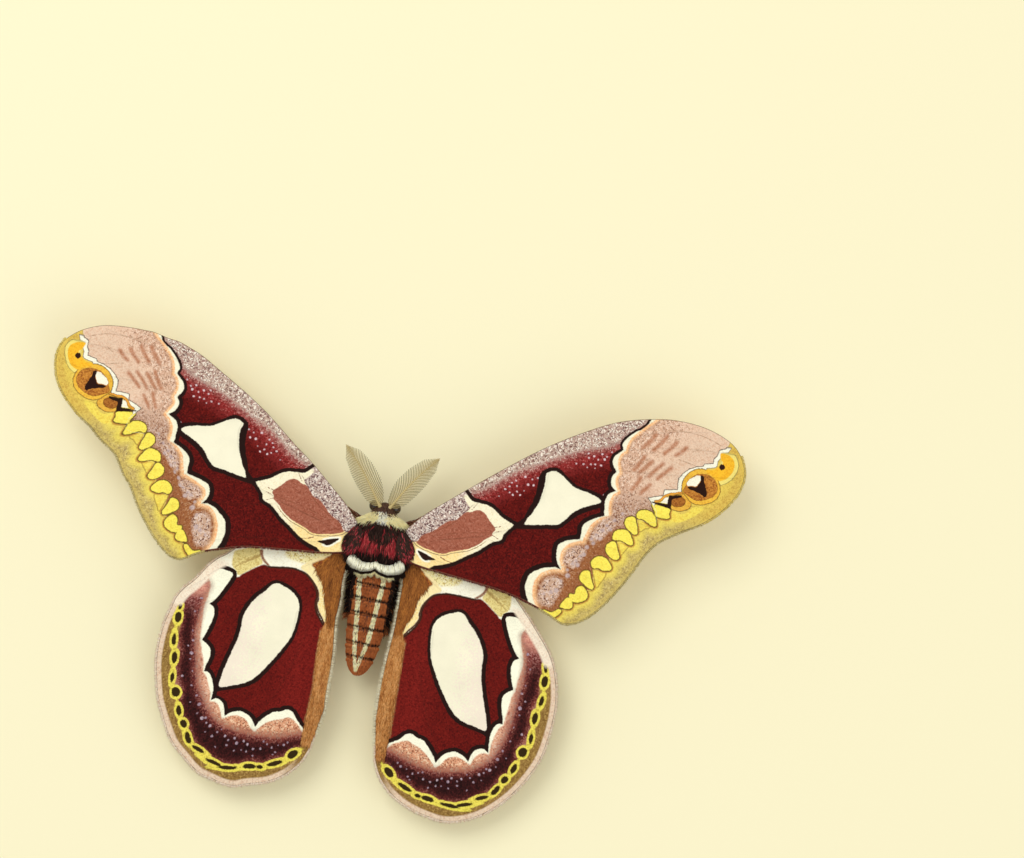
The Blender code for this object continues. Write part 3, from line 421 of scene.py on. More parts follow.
# The duller yellow ones between them and the margin
FORE_DULL = (
    ((41.4, 11.6), (42.2, 11.8), (43.0, 11.4), (43.8, 11.0), (42.9, 10.4), (42.0, 9.9)),
    ((38.8, 7.5), (39.6, 7.7), (40.7, 7.3), (40.3, 6.3), (39.7, 5.4), (39.2, 6.3)),
    ((35.7, 2.2), (36.6, 2.3), (37.8, 2.1), (37.6, 1.0), (37.2, 0.2), (36.8, -0.6), (36.2, 0.8)),
    ((46.6, 12.9), (46.6, 14.2), (48.0, 13.9), (49.3, 14.3), (50.2, 15.4), (51.8, 15.6), (51.2, 14.5),
     (49.6, 13.2), (48.0, 12.4)),
)
# Stippled ground inside each scallop, and the pale lilac blots behind it: place, then radius
FORE_STIPPLE = (
    ((28.0, -4.6), (27.7, -3.0), (28.0, -1.4), (29.0, -0.4), (30.6, -0.4), (31.0, -1.4), (30.4, -3.2),
     (29.8, -4.8)),
    ((30.9, 2.6), (30.9, 4.0), (31.6, 5.0), (33.0, 5.4), (33.8, 4.8), (33.2, 3.4), (32.4, 2.2)),
    ((34.4, 7.2), (35.0, 9.0), (36.0, 10.6), (37.4, 11.6), (38.6, 13.2), (39.6, 12.8), (38.6, 10.8),
     (37.2, 9.4), (36.0, 7.6)),
)
FORE_BLOTS = (
    (28.4, -3.2, 0.2), (29.5, -2.7, 0.3), (30.3, -2.3, 0.34), (30.8, -0.6, 0.2), (31.7, 0.5, 0.34),
    (31.5, 1.4, 0.2), (33.0, 2.5, 0.3), (32.2, 2.6, 0.22), (32.6, 3.2, 0.2), (33.7, 4.4, 0.28),
    (33.2, 4.1, 0.2), (34.0, 5.7, 0.3), (34.9, 6.5, 0.26), (34.5, 7.2, 0.2), (35.9, 7.5, 0.26),
    (35.1, 8.0, 0.2), (36.1, 8.9, 0.28), (37.3, 9.3, 0.26), (36.6, 9.8, 0.22), (37.7, 10.9, 0.24),
    (38.8, 12.2, 0.22),
)
FORE_WHITES = (
    (19.0, 12.7, 0.16), (19.6, 13.3, 0.17), (19.9, 14.0, 0.15), (19.8, 12.3, 0.13), (20.4, 12.0, 0.17),
    (20.5, 14.4, 0.14), (21.0, 12.7, 0.15), (21.6, 12.2, 0.14), (20.8, 13.6, 0.14), (22.1, 13.0, 0.12),
    (21.9, 15.3, 0.2), (22.6, 14.1, 0.2), (23.1, 15.1, 0.15), (23.5, 14.2, 0.17), (24.0, 15.5, 0.17),
    (18.2, 11.4, 0.12), (29.8, 19.0, 0.14), (31.0, 19.1, 0.16), (31.7, 20.3, 0.17), (31.7, 18.7, 0.13),
    (32.5, 20.7, 0.21), (32.2, 19.3, 0.15), (32.9, 19.4, 0.13), (33.3, 20.3, 0.18), (33.8, 21.3, 0.16),
    (34.3, 20.5, 0.2), (34.6, 21.0, 0.15), (35.3, 21.9, 0.16), (33.9, 19.4, 0.18), (33.0, 18.8, 0.12),
    (31.5, 21.0, 0.13), (35.2, 14.7, 0.14),
)
# Brown strokes of the pink tip field, and the dotted hairlines there
FORE_STROKES = (
    ((40.2, 23.6), (41.2, 24.8), (42.0, 26.1)), ((42.0, 23.5), (43.0, 24.7), (43.8, 26.1)),
    ((43.9, 23.3), (44.8, 24.3), (45.6, 25.4)), ((45.8, 23.3), (46.6, 24.0), (47.3, 24.8)),
    ((39.4, 19.7), (40.1, 20.8), (40.7, 22.1)), ((40.4, 19.5), (41.3, 20.5), (42.1, 21.6)),
    ((42.0, 19.1), (42.9, 20.3), (43.9, 21.5)), ((43.5, 19.0), (44.4, 20.0), (45.4, 21.1)),
    ((39.6, 16.4), (40.2, 17.4), (40.7, 18.6)), ((41.2, 16.1), (41.8, 16.9), (42.4, 17.7)),
)
FORE_HAIRLINES = (
    ((43.4, 27.0), (45.0, 27.3), (47.2, 27.4), (49.6, 27.2), (51.2, 26.8), (53.4, 26.0)),
    ((46.4, 22.7), (48.0, 22.4), (49.6, 22.1)), ((44.0, 18.7), (45.5, 18.1), (46.9, 17.7)),
    ((45.2, 25.7), (46.2, 26.2)), ((48.5, 24.3), (49.6, 25.1)),
)
FORE_RING = (
    (47.7, 18.5), (47.8, 19.6), (48.5, 20.8), (49.6, 21.6), (50.8, 21.8), (52.0, 21.4), (53.2, 20.6),
    (53.9, 19.4), (54.0, 18.2), (53.4, 17.1), (52.2, 16.3), (50.7, 15.9), (49.5, 16.2), (48.6, 17.0),
    (48.0, 17.5),
)
FORE_DISC = (
    (48.3, 18.6), (48.5, 19.4), (49.2, 20.3), (50.1, 20.9), (51.4, 21.0), (52.6, 20.6), (53.4, 19.6),
    (53.5, 18.5), (52.8, 17.5), (51.5, 16.8), (50.3, 16.6), (49.2, 17.0), (48.1, 17.6),
)
FORE_EYE_BLACK = (
    (50.4, 20.8), (50.9, 20.7), (51.2, 19.9), (51.6, 19.0), (51.9, 18.2), (52.0, 17.5), (51.6, 17.3),
    (50.8, 17.8), (49.8, 18.0), (48.9, 18.2), (48.6, 18.5), (49.3, 18.7), (50.0, 18.7), (50.4, 19.3),
    (50.6, 20.0),
)
FORE_EYE_WHITE = (
    (48.4, 19.0), (48.7, 19.7), (49.2, 20.2), (49.8, 20.6), (50.4, 20.7), (50.6, 20.2), (50.4, 19.6),
    (50.1, 19.0), (49.8, 18.7), (49.2, 18.8), (48.6, 18.6),
)
FORE_ORANGE = (
    (53.0, 24.9), (53.7, 25.0), (54.6, 24.8), (55.3, 24.3), (55.7, 23.4), (55.6, 22.4), (55.1, 21.4),
    (54.4, 20.7), (53.5, 20.4), (52.7, 20.8), (52.0, 21.2), (51.0, 21.6), (51.3, 21.9), (52.3, 22.0),
    (53.0, 22.6), (53.7, 23.4), (53.3, 24.0),
)
FORE_SMALL_RING = (
    (46.5, 14.6), (46.3, 15.4), (46.4, 16.4), (47.4, 17.0), (48.4, 17.2), (49.2, 16.6), (49.7, 15.8),
    (49.4, 15.0), (48.6, 14.5), (47.5, 14.3),
)
FORE_SMALL_DISC = (
    (46.5, 15.3), (46.5, 16.2), (47.2, 16.5), (48.0, 16.6), (48.6, 16.1), (48.5, 15.5), (48.0, 15.1),
    (47.2, 15.0),
)
FORE_HOOK = np.array((
    (43.0, 15.0), (45.8, 15.1), (45.9, 16.5), (47.9, 17.0), (48.0, 16.7), (46.4, 16.0), (46.5, 14.4),
    (44.6, 14.7),
))
FORE_WEDGE = np.array(((44.7, 15.15), (45.9, 15.15), (45.9, 16.3), (45.3, 16.0)))
FORE_THREAD = ((43.8, 15.2), (44.6, 15.5), (45.2, 16.3), (46.3, 16.9), (48.2, 17.4))


def between(outline, keys):
    """The places on the outline nearest to those key points."""
    return [int(np.argmin(np.linalg.norm(outline[:-1] - key, axis=1))) for key in keys]


outline = spline(FORE_OUTLINE, step=0.1, closed=True)
_, apex, shoulder, heel = between(outline, [FORE_OUTLINE[i] for i in (0, 13, 15, 32)])
fore_plan = sheet_grid(
    even(outline[: apex + 1], count=402),
    even(outline[shoulder : heel + 1][::-1], count=402),
    even(outline[heel:][::-1], count=177),
    even(outline[apex : shoulder + 1], count=177),
)
x, y = fore_plan[..., 0], fore_plan[..., 1]
fore_facts = {
    "rim": off(fore_plan, outline),
    "vein": nearest(fore_plan, FORE_VEINS),
    "inner": beyond(fore_plan, FORE_INNER, *FAR[::-1]),
    "outer": beyond(fore_plan, FORE_OUTER, *FAR[::-1]),
    "scallop": beyond(fore_plan, FORE_SCALLOP, *FAR[::-1]),
    "field": beyond(fore_plan, np.concatenate([FORE_APEX, FORE_FIELD]), *FAR[::-1]),
    "window": depth(fore_plan, FORE_WINDOW),
    "frame": depth(fore_plan, FORE_FRAME),
    "costal": beyond(fore_plan, FORE_COSTAL, (41, 60), (-20, 60), (-20, 1)),
    "patch": deepest(fore_plan, [FORE_PATCH]),
    "spot": deepest(fore_plan, [FORE_SPOT]),
    "streaks": nearest(fore_plan, FORE_STREAKS),
    "lobes": deepest(fore_plan, FORE_LOBES),
    "dull": deepest(fore_plan, FORE_DULL),
    "stipple": deepest(fore_plan, FORE_STIPPLE),
    "blots": round_spots(fore_plan, FORE_BLOTS),
    "whites": round_spots(fore_plan, FORE_WHITES),
    "strokes": nearest(fore_plan, FORE_STROKES),
    "hairlines": nearest(fore_plan, FORE_HAIRLINES),
    "ring": deepest(fore_plan, [FORE_RING]),
    "disc": deepest(fore_plan, [FORE_DISC]),
    "pupil": deepest(fore_plan, [FORE_EYE_BLACK]),
    "glint": deepest(fore_plan, [FORE_EYE_WHITE]),
    "orange": deepest(fore_plan, [FORE_ORANGE]),
    "dot": round_spots(fore_plan, [(53.7, 22.7, 0.5)]),
    "ring_small": deepest(fore_plan, [FORE_SMALL_RING]),
    "disc_small": deepest(fore_plan, [FORE_SMALL_DISC]),
    "hook": depth(fore_plan, FORE_HOOK),
    "wedge": depth(fore_plan, FORE_WEDGE),
    "thread": off(fore_plan, spline(FORE_THREAD)),
    "east": x,
    "north": y,
}
fore_facts["border"] = fore_facts["outer"] + np.interp(y, (-5, 5, 19, 24), (0.95, 0.8, 0.62, 0.42))
fore_facts["zigzag"] = np.sign(fore_facts["field"]) * off(fore_plan, FORE_APEX)


def blend(tree, share, one, other):
    """The one colour or the other, mixed by that share."""
    return add(tree, "Mix", {0: share, 6: one, 7: other}, data_type="RGBA").outputs[2]


def wing_skin(name, coats, window):
    """Wing scales: pigments laid one over another, each where its fields lie between two values in
    millimetres.

    Every edge is shaken a little, so that it is ragged by a scale or two. Each pigment may be flecked with
    others, scale by scale, and every scale has its own tone and its own little hump. Scales are matt, and
    the clear window that they leave is a slightly glossy membrane."""
    made, tree = matter(name)
    plan = add(tree, "Attribute", {}, attribute_name="plan").outputs["Vector"]
    slow = add(tree, "TexNoise", {"Vector": plan, "Scale": 1.1, "Detail": 1.0}).outputs[0]
    fast = add(tree, "TexNoise", {"Vector": plan, "Scale": 4.5, "Detail": 1.0}).outputs[0]

    def sum_up(kind, *values, **settings):
        """One step of arithmetic on those values."""
        return add(tree, "Math", dict(enumerate(values)), operation=kind, **settings).outputs[0]

    shake = sum_up("MULTIPLY_ADD", fast, 0.2, sum_up("MULTIPLY_ADD", slow, 0.2, -0.2))
    # Cells of the scale cover and of the flecks, both a sixth of a millimetre, the flecks warped
    tile = add(tree, "TexVoronoi", {"Vector": plan, "Scale": 6.0}, voronoi_dimensions="2D")
    warp = add(tree, "TexNoise", {"Vector": plan, "Scale": 2.5, "Detail": 2.0}).outputs["Color"]
    bent = add(tree, "VectorMath", {0: warp, 1: (0.5, 0.5, 0.5), 2: plan},
               operation="MULTIPLY_ADD").outputs[0]
    blot = add(tree, "TexVoronoi", {"Vector": bent, "Scale": 5.6}, voronoi_dimensions="2D")
    chances = add(tree, "SeparateColor", {0: blot.outputs["Color"]}).outputs
    tones = add(tree, "SeparateColor", {0: tile.outputs["Color"]}).outputs
    seen = {}

    def field(name):
        """The shaken distance to a mark, read once."""
        if name not in seen:
            seen[name] = add(tree, "Attribute", {}, attribute_name=name).outputs["Fac"]
            if name not in ("vein", "under", "rim"):
                seen[name] = sum_up("ADD", seen[name], shake)
        return seen[name]

    def mask(bands):
        """1 where every field of the bands lies between its two values, else 0, with edges that soft."""
        whole = None
        for name, low, high, soft in bands:
            middle, half = (low + high) / 2, (high - low) / 2
            away = sum_up("ABSOLUTE", sum_up("SUBTRACT", field(name), middle))
            away = sum_up("MULTIPLY_ADD", away, -1 / soft, half / soft + 0.5, use_clamp=True)
            whole = away if whole is None else sum_up("MULTIPLY", whole, away)
        return whole

    colour = None
    for bands, sheet, *flecks in coats:
        layer = linear(sheet)
        for (other, share), chance in zip(flecks, chances):
            if isinstance(share, tuple):
                name, start, first, end, last = share
                share = add(tree, "MapRange",
                            {0: field(name), 1: start, 2: end, 3: first, 4: last}).outputs[0]
            hit = sum_up("MULTIPLY_ADD", sum_up("SUBTRACT", share, chance), 9.0, 0.5, use_clamp=True)
            layer = blend(tree, hit, layer, linear(other))
        colour = layer if colour is None else blend(tree, mask(bands), colour, layer)

    # Veins a shade darker, the back of the wing a paler print of its front, and a tone for each scale
    line = sum_up("MULTIPLY", mask((("vein", -1, 0.1, 0.12),)), 0.13)
    colour = blend(tree, line, colour, linear("#3A2416"))
    colour = blend(tree, sum_up("MULTIPLY", field("under"), 0.38), colour, linear("#D2B89C"))
    cloud = add(tree, "TexNoise", {"Vector": plan, "Scale": 0.22, "Detail": 2.0}).outputs[0]
    clear = mask(((window, 0.0, 50.0, 0.25),))
    grain = add(tree, "MapRange", {0: clear, 3: 0.14, 4: 0.02}).outputs[0]
    tone = sum_up("MULTIPLY_ADD", tones[0], grain, 0.86)
    tone = sum_up("MULTIPLY_ADD", cloud, 0.2, tone)
    tone = sum_up("MULTIPLY_ADD", clear, 0.06, tone)
    colour = add(tree, "HueSaturation", {"Color": colour, "Value": tone}).outputs[0]
    hump = sum_up("SUBTRACT", tile.outputs["Distance"], clear)
    bump = add(tree, "Bump", {"Height": hump, "Strength": 0.35, "Distance": 0.00004}, invert=True).outputs[0]
    gloss = add(tree, "MapRange", {0: clear, 3: 0.85, 4: 0.25}).outputs[0]
    solidity = add(tree, "MapRange", {0: clear, 3: 1.0, 4: 0.9}).outputs[0]
    finish_matter(tree, {
        "Base Color": colour, "Roughness": gloss, "Alpha": solidity, "Normal": bump,
        "Specular IOR Level": 0.1,
    })
    return made


ALL = 90.0
fore_skin = wing_skin("moth wing scales fore", (
    ((), "#58100C", ("#6E1812", 0.3), ("#430B0A", 0.22)),
    ((("costal", -2.8, ALL, 2.4),), "#8E2C2A", ("#AE5A54", ("costal", -2.6, 0.0, 0.0, 0.5)),
     ("#6E1C1A", 0.28)),
    ((("costal", -0.8, ALL, 0.9),), "#A4625A", ("#C8A698", ("costal", -0.9, 0.1, 0.3, 0.6)),
     ("#82403C", 0.3)),
    ((("whites", 0.0, ALL, 0.12),), "#DCC3C4"),
    ((("inner", -ALL, 0.0, 0.12),), "#F9F0CE", ("#F2E6BE", 0.12)),
    ((("inner", -ALL, 0.0, 0.12), ("east", -ALL, 14.5, 3.0), ("north", -ALL, 2.6, 1.8)),
     "#FCE3A0", ("#F6D68C", 0.25)),
    ((("patch", -0.36, -0.22, 0.08), ("north", -ALL, 3.4, 1.0)), "#A58A62"),
    ((("patch", 0.0, ALL, 0.12),), "#A4604A", ("#92503C", 0.3), ("#B0705A", 0.2)),
    ((("streaks", -1, 0.05, 0.08), ("inner", -ALL, -0.3, 0.1)), "#8A503A"),
    ((("costal", 0.0, ALL, 0.16), ("inner", -ALL, -0.3, 0.12)), "#BFA79A", ("#715252", 0.4),
     ("#E9DED0", 0.28)),
    ((("costal", 0.1, ALL, 0.7), ("inner", 0.2, ALL, 0.12)), "#C3AA98", ("#7A5850", 0.36), ("#EEE3D2", 0.28),
     ("#B08C80", 0.2)),
    ((("spot", -0.3, ALL, 0.12), ("east", -ALL, 8.9, 0.4)), "#F9F4DC"),
    ((("spot", 0.0, ALL, 0.1),), "#2A1610"),
    ((("inner", -0.33, 0.33, 0.12),), "#24130F"),
    ((("frame", 0.0, ALL, 0.12),), "#24130F"),
    ((("window", 0.0, ALL, 0.12),), "#FFFADC"),
    ((("border", 0.0, ALL, 0.12),), "#24130F"),
    ((("outer", 0.0, ALL, 0.12),), "#F5F2D4"),
    ((("scallop", 0.0, ALL, 0.2),), "#F9C68F", ("#F2B07A", 0.3), ("#FAD9B0", 0.15)),
    ((("scallop", 0.6, ALL, 0.6),), "#A0663E", ("#8A5030", 0.3),
     ("#BA8A66", ("scallop", 0.8, 0.4, 3.0, 0.06))),
    ((("stipple", -0.2, ALL, 0.6),), "#CBA68C", ("#70493A", 0.24), ("#E2CABA", 0.3)),
    ((("scallop", 0.6, ALL, 0.6), ("north", 10.5, ALL, 4.0)), "#BC947A", ("#8E644E", 0.28), ("#D2B6A2", 0.3)),
    ((("blots", -0.05, ALL, 0.25),), "#C8B0A8", ("#B29A96", 0.35)),
    ((("scallop", 0.6, ALL, 0.6), ("north", 15.2, ALL, 3.5)), "#E2BEA2",
     ("#A67E66", ("scallop", 0.8, 0.42, 5.5, 0.03)), ("#CEA488", ("scallop", 0.8, 0.5, 9.0, 0.05)),
     ("#ECD0B8", 0.2)),
    ((("scallop", 5.5, ALL, 5.0), ("north", 16.5, ALL, 2.0)), "#E6C8AC", ("#DCB698", 0.3)),
    ((("hairlines", -1, 0.05, 0.08),), "#B89478"),
    ((("strokes", -1, 0.34, 0.42),), "#BC8464", ("#C6977C", 0.35), ("#AE7656", 0.25)),
    ((("field", 0.0, ALL, 0.15),), "#D2BC66", ("#BFA75A", 0.3)),
    ((("field", 0.0, ALL, 0.15), ("rim", 0.5, 2.6, 1.4), ("north", -ALL, 13.0, 4.0)), "#C4AC64",
     ("#A28B58", 0.34),
     ("#D8C47C", 0.2)),
    ((("field", 0.2, ALL, 0.3), ("north", 13.5, ALL, 4.0)), "#E4C75A", ("#D6B650", 0.3)),
    ((("field", 0.2, ALL, 0.3), ("north", 14.0, ALL, 4.0), ("rim", 0.2, 1.5, 0.8)), "#DDBC58",
     ("#CBA44A", 0.3)),
    ((("lobes", -1.3, ALL, 1.2), ("field", 0.0, ALL, 0.3)), "#EDD862", ("#E2C85A", 0.2)),
    ((("dull", -0.14, ALL, 0.1), ("east", -ALL, 45.5, 0.5)), "#A88A3E"),
    ((("dull", 0.0, ALL, 0.2),), "#F2DC5E", ("#EACB52", 0.25)),
    ((("lobes", -0.36, ALL, 0.25), ("field", 0.1, ALL, 0.3)), "#BE8A3C"),
    ((("lobes", -0.17, ALL, 0.08),), "#6A5426"),
    ((("lobes", 0.0, ALL, 0.12),), "#FAEA5E", ("#F4DC54", 0.25)),
    ((("zigzag", -0.14, 0.7, 0.08), ("north", -ALL, 26.2, 0.2)), "#756256"),
    ((("zigzag", 0.0, 0.6, 0.12), ("north", -ALL, 26.0, 0.3)), "#F8F5DC"),
    ((("orange", -0.72, ALL, 0.1), ("east", 53.4, ALL, 0.4), ("north", -ALL, 25.2, 0.3)), "#9A8A4C"),
    ((("orange", -0.6, ALL, 0.1), ("east", 53.4, ALL, 0.4), ("north", -ALL, 25.1, 0.3)), "#F2E07A"),
    ((("thread", -1, 0.22, 0.1),), "#8C5A24"),
    ((("thread", -1, 0.14, 0.1),), "#E6A23C"),
    ((("ring_small", -0.12, ALL, 0.1),), "#7A5A28"),
    ((("ring_small", 0.0, ALL, 0.1),), "#E8B445", ("#DA9E38", 0.3)),
    ((("disc_small", -0.1, ALL, 0.1),), "#6A3A18"),
    ((("disc_small", 0.0, ALL, 0.1),), "#AC6C2C", ("#8F5220", 0.3)),
    ((("ring", -0.12, ALL, 0.1),), "#7A5A28"),
    ((("ring", 0.0, ALL, 0.1),), "#EEBC42", ("#E2A838", 0.3)),
    ((("disc", -0.06, 0.06, 0.08),), "#7A4A1E"),
    ((("disc", 0.0, ALL, 0.1),), "#BC7A30", ("#9C5C24", 0.35), ("#CE8C3C", 0.2)),
    ((("glint", 0.0, ALL, 0.1),), "#FBF6DC"),
    ((("pupil", 0.0, ALL, 0.1),), "#2A150E"),
    ((("orange", 0.0, ALL, 0.15),), "#F8BE30", ("#F0AE28", 0.3)),
    ((("dot", 0.0, ALL, 0.12),), "#341A12"),
    ((("wedge", 0.0, ALL, 0.1),), "#FBF6DC"),
    ((("hook", -0.03, ALL, 0.1),), "#2A170F"),
    ((("rim", -1, 0.08, 0.08),), "#7A664C"),
), "window")

fore_relief = 0.09 * np.exp(-np.square(fore_facts["vein"] / 0.28))
FORE_STAND = (-1.85, (6.0, 1.0), FORE_SWAY, 1.0)
for word, side in SIDES:
    wing = wing_solid(f"forewing_{word}_skin", fore_plan, settle(fore_plan, side, *FORE_STAND),
                      wing_height(fore_plan, True), fore_relief, fore_facts, fore_skin, side)
    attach(wing, "root")
    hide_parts(f"forewing_{word}")

# Hindwings: the same scaled membrane, tucked under the forewings at the front, with a furry inner third
# along the abdomen. Their pattern repeats the forewing's: maroon field, clear window, scalloped white line,
# dark edge band.
HIND_OUTLINE = (
    (3.9, -0.9), (6.5, -0.1), (10.0, 0.6), (14.5, 0.2), (19.0, -1.6), (22.6, -4.2), (25.6, -7.3),
    (28.2, -10.3), (30.6, -13.4), (32.2, -17.0), (33.0, -21.5), (32.8, -26.5), (31.8, -31.3), (29.4, -35.9),
    (26.3, -39.6), (22.8, -42.2), (18.6, -43.6), (14.6, -43.2), (10.6, -41.8), (7.4, -39.5), (5.4, -36.4),
    (4.7, -32.8), (4.1, -28.5), (4.0, -23.0), (4.3, -18.0), (4.7, -13.0), (4.8, -8.5), (4.8, -5.0),
    (4.2, -3.6),
)
HIND_VEINS = (
    ((4.2, -1.6), (10.0, -1.6), (17.0, -2.9), (24.0, -7.9), (30.6, -13.2)),
    ((4.2, -2.2), (9.0, -4.4), (15.4, -8.8)),
    ((15.4, -8.8), (20.5, -11.4), (25.7, -14.4), (32.4, -18.2)),
    ((15.4, -8.8), (20.5, -14.5), (26.0, -20.1), (32.8, -24.4)),
    ((20.5, -14.5), (21.6, -20.0), (25.2, -25.2), (31.8, -30.6)),
    ((4.4, -2.8), (8.2, -7.2), (11.2, -13.0)),
    ((11.2, -13.0), (11.7, -18.0), (14.2, -23.3)),
    ((14.2, -23.3), (18.0, -26.9), (23.4, -29.7), (28.6, -37.1)),
    ((14.2, -23.3), (17.2, -27.6), (20.7, -32.0), (24.2, -41.3)),
    ((8.2, -7.2), (9.6, -18.0), (12.4, -27.0), (15.3, -33.2), (17.3, -43.4)),
    ((4.6, -3.4), (6.6, -11.0), (7.0, -22.0), (7.4, -31.0), (8.6, -40.3)),
)
HIND_SWAY = (
    (5.0, -2.5, 0.2, 0.0), (5.0, -15.0, 0.5, -0.1), (4.0, -25.0, 0.8, 0.0), (4.7, -32.8, 0.8, 0.2),
    (6.4, -38.4, 0.9, 0.5), (10.6, -41.8, 0.9, 0.4), (18.6, -43.6, 0.4, 0.3), (24.0, -41.5, 0.3, -0.2),
    (28.0, -37.8, 0.7, 0.0), (31.9, -31.0, 0.2, 0.0), (33.0, -22.0, 0.4, 0.0), (32.2, -17.0, 0.4, 0.3),
    (30.6, -13.4, 0.8, 0.2), (26.0, -7.8, 0.8, 0.5), (22.6, -4.2, 0.6, 0.0), (22.4, -7.8, 0.5, 0.0),
    (18.6, -5.0, 0.3, 0.0), (12.0, -6.3, 0.8, 0.2), (8.2, -10.0, 0.1, -0.2), (6.8, -25.0, 0.3, 0.0),
    (15.0, -8.9, 0.6, 0.0), (10.9, -13.0, 0.5, -0.2), (20.0, -16.5, 0.4, 0.2), (15.8, -24.7, 0.4, 0.5),
    (22.3, -27.6, 0.1, 0.2), (25.9, -15.0, 0.3, 0.9), (25.7, -20.2, 0.7, 0.0), (24.8, -26.0, 0.4, 0.9),
    (23.3, -31.1, 0.1, 1.4), (20.3, -33.2, 0.5, 1.1), (15.0, -34.3, 0.5, 1.2), (9.9, -30.1, 0.4, 0.8),
    (5.4, -34.0, 1.0, 0.5), (30.6, -18.0, 0.3, 1.1), (30.0, -24.3, 0.5, 0.5), (28.8, -30.2, 0.5, 0.8),
    (26.6, -35.2, 0.6, 0.8), (23.4, -38.8, 0.9, 0.6), (19.5, -40.8, 0.6, 0.4), (14.7, -40.3, 0.8, 0.7),
    (10.4, -38.9, 0.7, 0.6), (7.5, -37.0, 1.1, 0.5), (27.0, -11.4, 0.9, -0.2),
)
HIND_HAIR = (
    (4.2, -1.6), (6.5, -2.3), (7.5, -3.0), (8.6, -4.0), (9.8, -5.0), (9.0, -5.9), (8.0, -7.4), (7.4, -8.7),
    (7.2, -10.0), (6.9, -11.2), (6.2, -12.4), (5.4, -13.5), (4.8, -14.8), (3.4, -15.0), (2.8, -8.0),
)
HIND_BUFF = (
    (4.2, -1.6), (8.2, -3.2), (10.6, -4.9), (11.4, -6.0), (10.2, -6.7), (9.2, -7.8), (8.5, -9.0),
    (8.3, -10.2), (8.4, -11.1), (7.8, -12.2), (7.0, -13.2), (6.2, -14.2), (5.0, -15.4), (2.6, -15.6),
    (2.0, -8.0),
)
# The maroon field's front and inner edge, then its scalloped hind edge, from the inner margin to the costa
HIND_FIELD = np.concatenate([
    spline(((2.0, -16.2), (5.2, -15.6), (6.6, -14.2), (7.8, -12.8), (8.6, -11.3), (8.6, -9.9), (8.9, -8.7),
            (9.6, -7.5),
            (10.6, -6.7), (12.0, -6.3), (13.5, -6.2), (15.2, -6.3), (17.0, -6.4), (18.0, -6.2))),
    spline(((18.0, -6.2), (18.9, -6.7), (19.9, -7.5), (21.0, -8.3), (21.9, -9.0), (22.8, -7.9),
            (24.0, -8.0))),
])
HIND_OUTER = trace(
    ((26.8, -8.0), (25.2, -8.4), (24.0, -8.3), (23.2, -8.3), (22.6, -8.6), (22.8, -9.6), (23.5, -11.3),
     (24.4, -13.1), (25.2, -14.3), (26.0, -15.0)),
    ((26.0, -15.0), (25.1, -15.3), (24.8, -16.0), (24.8, -17.2), (25.2, -18.8), (25.8, -20.2)),
    ((25.8, -20.2), (25.0, -20.6), (24.4, -21.2), (24.1, -22.0), (24.3, -23.6), (24.7, -25.0),
     (24.9, -26.1)),
    ((24.9, -26.1), (24.1, -26.2), (23.5, -27.0), (23.2, -28.2), (23.2, -29.8), (23.3, -31.2)),
    ((23.3, -31.2), (22.5, -30.7), (21.6, -30.8), (20.9, -31.3), (20.5, -32.2), (20.3, -33.2)),
    ((20.3, -33.2), (19.5, -32.5), (18.6, -32.0), (17.6, -31.9), (16.6, -32.3), (15.7, -33.0),
     (15.0, -34.3)),
    ((15.0, -34.3), (14.5, -33.3), (13.8, -32.3), (13.0, -31.4), (12.3, -30.8), (11.3, -30.6),
     (10.7, -30.2), (9.9, -30.1), (9.2, -30.5), (8.4, -31.3), (7.5, -31.9), (6.7, -32.4), (6.0, -33.1),
     (5.0, -34.1), (2.0, -35.0)),
)
HIND_SCALLOP = trace(
    ((28.0, -9.6), (26.6, -9.8), (25.9, -10.2), (25.6, -11.2), (25.8, -12.6), (26.2, -14.0), (26.6, -15.1)),
    ((26.6, -15.1), (26.6, -16.4), (26.3, -18.0), (26.1, -19.4), (26.1, -20.4)),
    ((26.1, -20.4), (25.8, -21.0), (25.5, -22.2), (25.4, -23.4), (25.2, -24.8), (25.0, -26.2)),
    ((25.0, -26.2), (24.4, -26.9), (24.0, -27.8), (23.7, -29.0), (23.5, -30.4), (23.5, -31.4)),
    ((23.5, -31.4), (22.4, -31.4), (21.6, -31.9), (21.1, -32.6), (20.7, -33.7)),
    ((20.7, -33.7), (19.3, -33.0), (18.3, -32.7), (17.3, -32.9), (16.5, -33.4), (16.0, -34.2),
     (15.0, -35.2)),
    ((15.0, -35.2), (14.3, -34.2), (13.5, -33.4), (12.7, -32.7), (11.8, -32.1), (10.9, -31.8),
     (10.1, -31.4), (9.2, -31.5), (8.3, -31.9), (7.4, -32.4), (6.7, -33.2), (6.0, -34.0), (5.0, -34.5),
     (2.0, -35.2)),
)
HIND_WINDOW = (
    (15.0, -8.9), (14.2, -9.1), (12.8, -9.7), (11.7, -10.5), (11.0, -11.7), (10.9, -13.2), (11.1, -15.4),
    (11.6, -17.5), (12.5, -19.4), (13.6, -21.4), (14.8, -23.3), (15.9, -24.8), (17.1, -26.0), (18.4, -26.7),
    (20.0, -27.1), (21.4, -27.5), (22.3, -27.6), (22.2, -26.2), (21.6, -24.2), (20.9, -22.0), (20.3, -19.8),
    (20.0, -17.8), (19.9, -15.4), (19.2, -13.6), (18.2, -12.0), (16.9, -10.6), (15.8, -9.3),
)
